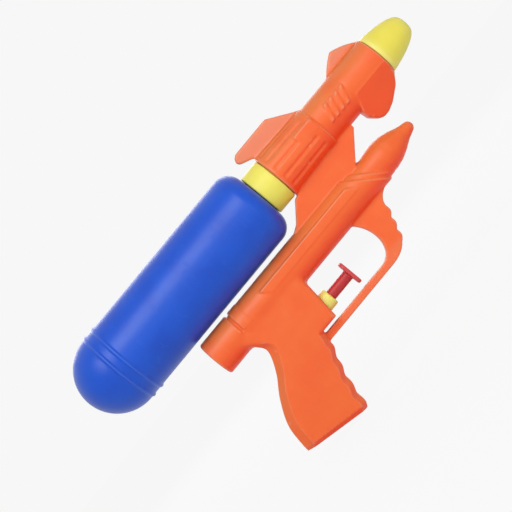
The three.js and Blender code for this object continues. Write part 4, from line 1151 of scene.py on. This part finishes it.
def bottle():
    rear, rim, z, widest = round_node("tank")
    r = widest - TANK_RIB
    front = rim - NECK_LENGTH
    dome = rear + r
    foot = 0.5
    lip = 0.4

    def rib(x):
        """A low round ring on the wall."""
        shares = [k / RIB_STEPS for k in range(-RIB_STEPS, RIB_STEPS + 1)]
        return [(x + TANK_RIB_FOOT * s, r + TANK_RIB * cos(pi * s / 2) ** 2) for s in shares]

    profile = [
        *arc(dome, 0, r, 180, 90, 40)[:-1],
        *rib(dome + TANK_RIB_WIDTH),
        *rib(dome + TANK_RIB_WIDTH + TANK_RIB_PITCH),
        *arc(front - TANK_SHOULDER, r - TANK_SHOULDER, TANK_SHOULDER, 90, 0, 20),
        (front, NECK_R + foot),
        (front + foot, NECK_R),
        (rim - lip, NECK_R),
        (rim, NECK_R - lip),
        (rim, NECK_BORE),
        (front - TANK_WALL, NECK_BORE),
        *arc(front - TANK_SHOULDER, r - TANK_SHOULDER, TANK_SHOULDER - TANK_WALL, 0, 90, 12),
        *arc(dome, 0, r - TANK_WALL, 90, 180, 24),
    ]
    mesh = joined([turned(profile, z, BOTTLE_ROUND), neck_thread(front, z)])
    piece("bottle_blown", mesh, "bottle", "blue_bottle", "tank", crease=CREASE)


def trim(name, profile, z, steps, node):
    """A turned piece of the yellow trim."""
    mesh = gathered([turned(profile, z, steps)])
    piece(name, mesh, "body", "yellow_trim", node, crease=CREASE)


def collar():
    """The bottle's cap, with its plug in the bell and a spigot on each side for the hoses."""
    rear, _, z, r = round_node("tank_collar")
    front = BELL_X - FIT
    end = front + SPIGOT_LENGTH
    middle = front + SPIGOT_LENGTH / 2
    cap = front - CAP_WALL
    tail = cap - SPIGOT_LENGTH
    plug_r = BELL_R - BELL_TAPER - WALL - FIT
    groove_r = plug_r - CAP_GROOVE
    hollow_r = groove_r - CAP_WALL
    edge = 0.9
    lip = 0.5
    profile = [
        (tail, SPIGOT_BORE),
        (tail, SPIGOT_R),
        (cap, SPIGOT_R),
        (cap, CAP_BORE),
        (rear + lip, CAP_BORE),
        (rear, CAP_BORE + lip),
        *arc(rear + edge, r - edge, edge, 180, 90, 8),
        *arc(front - edge, r - edge, edge, 90, 0, 8),
        (front, plug_r),
        (middle - SEAL_HALF, plug_r),
        (middle - SEAL_HALF, groove_r),
        (middle + SEAL_HALF, groove_r),
        (middle + SEAL_HALF, plug_r),
        (end, plug_r),
        (end, hollow_r),
        (front, hollow_r),
        (front, SPIGOT_R),
        (end, SPIGOT_R),
        (end, SPIGOT_BORE),
        (tail, SPIGOT_BORE),
    ]
    trim("collar_moulded", profile, z, TRIM_ROUND, "tank_collar")


# The cone's outline, as shares of its length and of its radius
CONE_FLANK = [
    (0.03, 1), (0.15, 0.975), (0.3, 0.93), (0.45, 0.875), (0.58, 0.815), (0.7, 0.745),
    (0.8, 0.67), (0.88, 0.59), (0.94, 0.5), (0.975, 0.42), (0.992, 0.34),
]


def cone():
    """The nozzle, with its plug in the head and a pocket behind for the jet."""
    rear, tip, z, r = round_node("nozzle")
    start = HEAD_END_X + FIT
    length = tip - start
    plug_r = HEAD_R - WALL - FIT
    groove_r = plug_r - NOZZLE_GROOVE
    groove = (rear + start) / 2
    pocket_r = groove_r - NOZZLE_WALL
    pocket = rear + JET_FLANGE + 2 * FIT
    hole = JET_R + FIT
    funnel_r = 0.805 * r - 2.9
    edge = 0.2
    rim = 1
    profile = [
        (rear, pocket_r),
        (rear, plug_r),
        (groove - SEAL_HALF, plug_r),
        (groove - SEAL_HALF, groove_r),
        (groove + SEAL_HALF, groove_r),
        (groove + SEAL_HALF, plug_r),
        (start, plug_r),
        (start, r - 3 * edge),
        (start + edge, r - edge),
        *[(start + share * length, r * part) for share, part in CONE_FLANK],
        (tip, hole + rim),
        (tip, hole + edge),
        (tip - edge, hole),
        (start + 0.8 * length, hole),
        (start + 0.45 * length, funnel_r),
        (pocket, pocket_r - rim),
        (pocket, pocket_r),
        (rear, pocket_r),
    ]
    trim("nozzle_cone", profile, z, TRIM_ROUND, "nozzle")


def bush():
    """The plunger's guide; its spigot is as wide as the piston, because both fit the pump's bore."""
    rear, front, z, r = round_node("gland_bush")
    shoulder = rear + BUSH_SPIGOT + FIT
    edge = 1.1
    lip = 0.3
    profile = [
        (rear, BUSH_BORE),
        (rear, PISTON_R),
        (shoulder, PISTON_R),
        (shoulder, r),
        *arc(front - edge, r - edge, edge, 90, 0, 8),
        (front, BUSH_BORE + lip),
        (front - lip, BUSH_BORE),
        (rear, BUSH_BORE),
    ]
    trim("bush_moulded", profile, z, SMALL_ROUND, "gland_bush")


def finger_pad(front, z, half_wide, half_tall):
    """The trigger's flat pad, with round corners and soft edges."""
    bm = bmesh.new()
    outline = []
    for quarter, (sy, sz) in enumerate([(1, 1), (-1, 1), (-1, -1), (1, -1)]):
        for i in range(PAD_STEPS + 1):
            angle = pi / 2 * (quarter + i / PAD_STEPS)
            outline.append((front, sy * (half_wide - PAD_CORNER) + PAD_CORNER * cos(angle),
                            z + sz * (half_tall - PAD_CORNER) + PAD_CORNER * sin(angle)))
    face = bm.faces.new([bm.verts.new(p) for p in outline])
    grown = bmesh.ops.extrude_face_region(bm, geom=[face])["geom"]
    verts = [v for v in grown if isinstance(v, bmesh.types.BMVert)]
    bmesh.ops.translate(bm, verts=verts, vec=(-PAD_THICK, 0, 0))
    tidy(bm)
    rims = [e for e in bm.edges if abs(e.verts[0].co.x - e.verts[1].co.x) < PAD_THICK / 2]
    bmesh.ops.bevel(bm, geom=rims, offset=PAD_EDGE, affect="EDGES", segments=BEVEL_STEPS,
                    profile=0.5, material=-1)
    return bm


def push_trigger():
    rear, front, z, half_tall = round_node("trigger")
    low, high = in_mm("trigger")
    seal_low, seal_high = in_mm("piston_seal")
    air = 0.25
    root = 0.8
    neck = front - PAD_THICK - root
    inside = front - PAD_THICK / 2
    plunger = turned([
        (rear, 0),
        (rear, PISTON_R),
        (seal_low.x - air, PISTON_R),
        (seal_low.x - air, PISTON_GROOVE_R),
        (seal_high.x + air, PISTON_GROOVE_R),
        (seal_high.x + air, PISTON_R),
        (rear + PISTON, PISTON_R),
        (rear + PISTON, ROD_R),
        (neck, ROD_R),
        *arc(neck, ROD_R + root, root, 270, 360, 6),
        (inside, ROD_R + root),
        (inside, 0),
    ], z, SMALL_ROUND)
    pad = finger_pad(front, z, (high.y - low.y) / 2, half_tall)
    piece("trigger_moulded", joined([plunger, pad]), "plunger", "red_trigger", "trigger", crease=CREASE)


# Springs and hoses

def coil(length, r, wire, turns):
    """A spring wound about the X axis from x = 0, its end turns lying close."""
    bm = bmesh.new()
    place = Matrix.Translation((wire / 2, 0, r)) @ Matrix.Rotation(pi / 2, 4, "X")
    bmesh.ops.create_circle(bm, cap_ends=True, radius=wire / 2, segments=WIRE_ROUND, matrix=place)
    geom = bm.verts[:] + bm.edges[:] + bm.faces[:]
    close = (1 + SPRING_AIR) * wire
    open_turns = turns - 2
    for count, rise in ((1, close), (open_turns, length - wire - 2 * close), (1, close)):
        steps = SPRING_STEPS * count
        geom = bmesh.ops.spin(bm, geom=geom, axis=(1, 0, 0), dvec=(rise / steps, 0, 0),
                              angle=2 * pi * count, steps=steps)["geom_last"]
    return tidy(bm)


def spring(node, wire, turns, axis):
    """A wound spring that fills the node's box along the given axis."""
    low, high = in_mm(node)
    lengthwise = Vector(axis)
    length = (high - low).dot(lengthwise)
    r = (high.y - low.y - wire) / 2
    middle = (low + high) / 2
    turn = lengthwise.to_track_quat("X", "Y").to_matrix().to_4x4()
    bm = coil(length, r, wire, turns)
    place = Matrix.Translation(middle - lengthwise * length / 2) @ turn
    bmesh.ops.transform(bm, matrix=place, verts=bm.verts)
    made = piece(node + "_wound", gathered([bm]), "body", "steel", node)
    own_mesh(made)


def springs():
    lengthwise, upright = (1, 0, 0), (0, 0, 1)
    spring("return_spring", RETURN_WIRE, RETURN_TURNS, lengthwise)
    spring("inlet_spring", VALVE_WIRE, VALVE_TURNS, upright)
    spring("outlet_spring", VALVE_WIRE, VALVE_TURNS, upright)


def middle_x(node):
    low, high = in_mm(node)
    return (low.x + high.x) / 2


def dip_route():
    """From the cap down to the bottle's lowest water."""
    tank_low, tank_high = in_mm("tank")
    cap = BELL_X - FIT - CAP_WALL
    front = tank_high.x - NECK_LENGTH
    end = tank_low.x + TANK_R
    low = UPPER_Z - TANK_R + TANK_WALL + 2 * HOSE_R
    return [
        (cap - FIT, 0, UPPER_Z),
        (cap - SPIGOT_LENGTH, 0, UPPER_Z),
        (front - 12, 0, UPPER_Z - 1),
        (front - 40, 0, (UPPER_Z + low) / 2),
        (end + 20, 0, low + 1),
        (end, 0, low),
    ]


def suction_route():
    """From the cap, down through the web and back along the lower barrel to the inlet."""
    cap = BELL_X - FIT
    down = BELL_X + 0.42 * BELL_LENGTH
    inlet, outlet = middle_x("inlet_nipple"), middle_x("outlet_nipple")
    top = in_mm("inlet_nipple")[1].z
    return [
        (cap + FIT, 0, UPPER_Z),
        (cap + SPIGOT_LENGTH, 0, UPPER_Z),
        (down, 0, UPPER_Z - 5),
        (down + 3, 0, UPPER_Z - BELL_R),
        (down, 0, LOWER_Z + LOWER_R - 1),
        (down - 10, HOSE_SIDE, LOWER_Z + 1.5),
        (outlet + 30, HOSE_SIDE, LOWER_Z + 1),
        (outlet, 1.7 * HOSE_SIDE, LOWER_Z + 1.5),
        (inlet + 1, 0.5 * HOSE_SIDE, LOWER_Z + 1.5),
        (inlet, 0, top + 0.5),
        (inlet, 0, top - NIPPLE_LENGTH / 2),
        (inlet, 0, top - NIPPLE_LENGTH + FIT),
    ]


def outlet_route():
    """From the outlet, forward along the lower barrel and up through the web to the jet."""
    up = BELL_END_X - 0.45 * BELL_LENGTH
    outlet = middle_x("outlet_nipple")
    top = in_mm("outlet_nipple")[1].z
    jet = in_mm("nozzle_jet")[0].x
    return [
        (outlet, 0, top - NIPPLE_LENGTH + FIT),
        (outlet, 0, top - NIPPLE_LENGTH / 2),
        (outlet, 0, top + 1.5),
        (outlet + 3, -0.5 * HOSE_SIDE, LOWER_Z + 2),
        (outlet + 16, -HOSE_SIDE, LOWER_Z + 2),
        (up - 24, -HOSE_SIDE, LOWER_Z + 1),
        (up - 5, -0.8 * HOSE_SIDE, LOWER_Z + 3),
        (up + 4, 0, LOWER_Z + LOWER_R),
        (up + 11, 0, UPPER_Z - WAIST_R),
        (up + 22, 0, UPPER_Z - 2),
        (jet, 0, UPPER_Z),
        (jet + SPIGOT_LENGTH - FIT, 0, UPPER_Z),
    ]


def hoses():
    routes = {"dip_tube": dip_route(), "suction_hose": suction_route(), "outlet_hose": outlet_route()}
    for node, route in routes.items():
        skin = gathered([tube(flowing(route), HOSE_R)])
        drawn = worked(skin, ("SOLIDIFY", {"thickness": HOSE_WALL, "offset": -1}))
        piece(node + "_drawn", drawn, "body", "hose", node, crease=CREASE)


body_halves()
screws()
bottle()
collar()
cone()
bush()
push_trigger()
springs()
hoses()

for part in frame["record"]["subparts"]:
    shown = frame["nodes"][part["node"]]
    shown.data.materials.clear()
    shown.data.materials.append(FINISHES[part["material_slot"]])


# Floor, light and camera, in metres

AMBIENT = 0.36
BACKGROUND = 0.93
FLOOR_SIZE = 4
FLOOR_TONE = 0.72
FLOOR_PLAIN = 0.95  # share of an even tone where the floor is seen; the rest takes light and shadow
FLOOR_GLOW = 0.953  # a little over the background, to make up for that rest
PICTURE = 512  # pixels
MM_PER_PIXEL = 0.504
ROLL = 50.4  # degrees
LENS = 100  # millimetres, as the next one
SENSOR = 36
VIEW_MIDDLE = (0.035, 0, 0.0631)
LAMP_AIM = (0.04, 0, 0.05)
LAMPS = [  # name, place, size, power, mirrored
    ("key", (-0.04, -0.57, 0.53), (0.6, 0.4), 2.9, True),
    ("fill", (0.25, -0.8, 0.02), (0.7, 0.7), 3.15, False),
    ("back", (-0.1, 0.6, 0.5), (0.5, 0.5), 1.4, False),
    ("left", (0.0, 0.75, 0.4), (0.7, 0.4), 1.7, True),
]


def grey(level):
    return (level, level, level, 1)


def daylight():
    """Even soft light, with a plain pale background where it is seen."""
    world = bpy.data.worlds.new("studio")
    bpy.context.scene.world = world
    sky = Nodes(world)
    soft = sky.node("ShaderNodeBackground", None, {"Color": grey(AMBIENT)})
    plain = sky.node("ShaderNodeBackground", None, {"Color": grey(BACKGROUND)})
    both = sky.node("ShaderNodeMixShader", None, {0: sky.seen(), 1: soft, 2: plain})
    sky.feed(sky.tree.nodes["World Output"].inputs["Surface"], both)


def floor():
    bm = bmesh.new()
    bmesh.ops.create_grid(bm, x_segments=1, y_segments=1, size=FLOOR_SIZE)
    bmesh.ops.translate(bm, verts=bm.verts, vec=(0, 0, cad_low.z))
    mesh = bpy.data.meshes.new("floor")
    bm.to_mesh(mesh)
    bm.free()
    made = bpy.data.objects.new("floor", mesh)
    bpy.context.scene.collection.objects.link(made)
    finish = Finish("pale_floor")
    glow = finish.node("ShaderNodeEmission", None, {"Color": grey(FLOOR_GLOW)})
    finish.set(base_color=grey(FLOOR_TONE), roughness=0.9)
    lit = Wire(finish, finish.shader.outputs[0])
    plain = finish.seen() * FLOOR_PLAIN
    both = finish.node("ShaderNodeMixShader", None, {0: plain, 1: lit, 2: glow})
    finish.feed(finish.tree.nodes["Material Output"].inputs["Surface"], both)
    mesh.materials.append(finish.material)


def lamp(name, place, size, power, mirrored):
    """A soft lamp; one that is not mirrored gives light without a highlight."""
    light = bpy.data.lights.new(name, "AREA")
    light.shape = "RECTANGLE"
    light.size, light.size_y = size
    light.energy = power
    made = bpy.data.objects.new(name, light)
    made.location = place
    made.visible_glossy = mirrored
    made.rotation_euler = (Vector(LAMP_AIM) - Vector(place)).to_track_quat("-Z", "Y").to_euler()
    bpy.context.scene.collection.objects.link(made)


def camera():
    """Square to the right side, turned so that the muzzle points up and to the right."""
    roll = radians(ROLL)
    view_width = PICTURE * MM_PER_PIXEL * MM
    data = bpy.data.cameras.new("camera")
    data.sensor_width = SENSOR
    data.lens = LENS
    distance = view_width * LENS / SENSOR
    right = Vector((cos(roll), 0, -sin(roll)))
    up = Vector((sin(roll), 0, cos(roll)))
    back = Vector((0, -1, 0))
    turn = Matrix((right, up, back)).transposed().to_4x4()
    made = bpy.data.objects.new("camera", data)
    made.matrix_world = Matrix.Translation(Vector(VIEW_MIDDLE) + back * distance) @ turn
    bpy.context.scene.collection.objects.link(made)
    bpy.context.scene.camera = made


daylight()
floor()
camera()
for settings in LAMPS:
    lamp(*settings)

bpy.context.scene.view_settings.view_transform = "Standard"
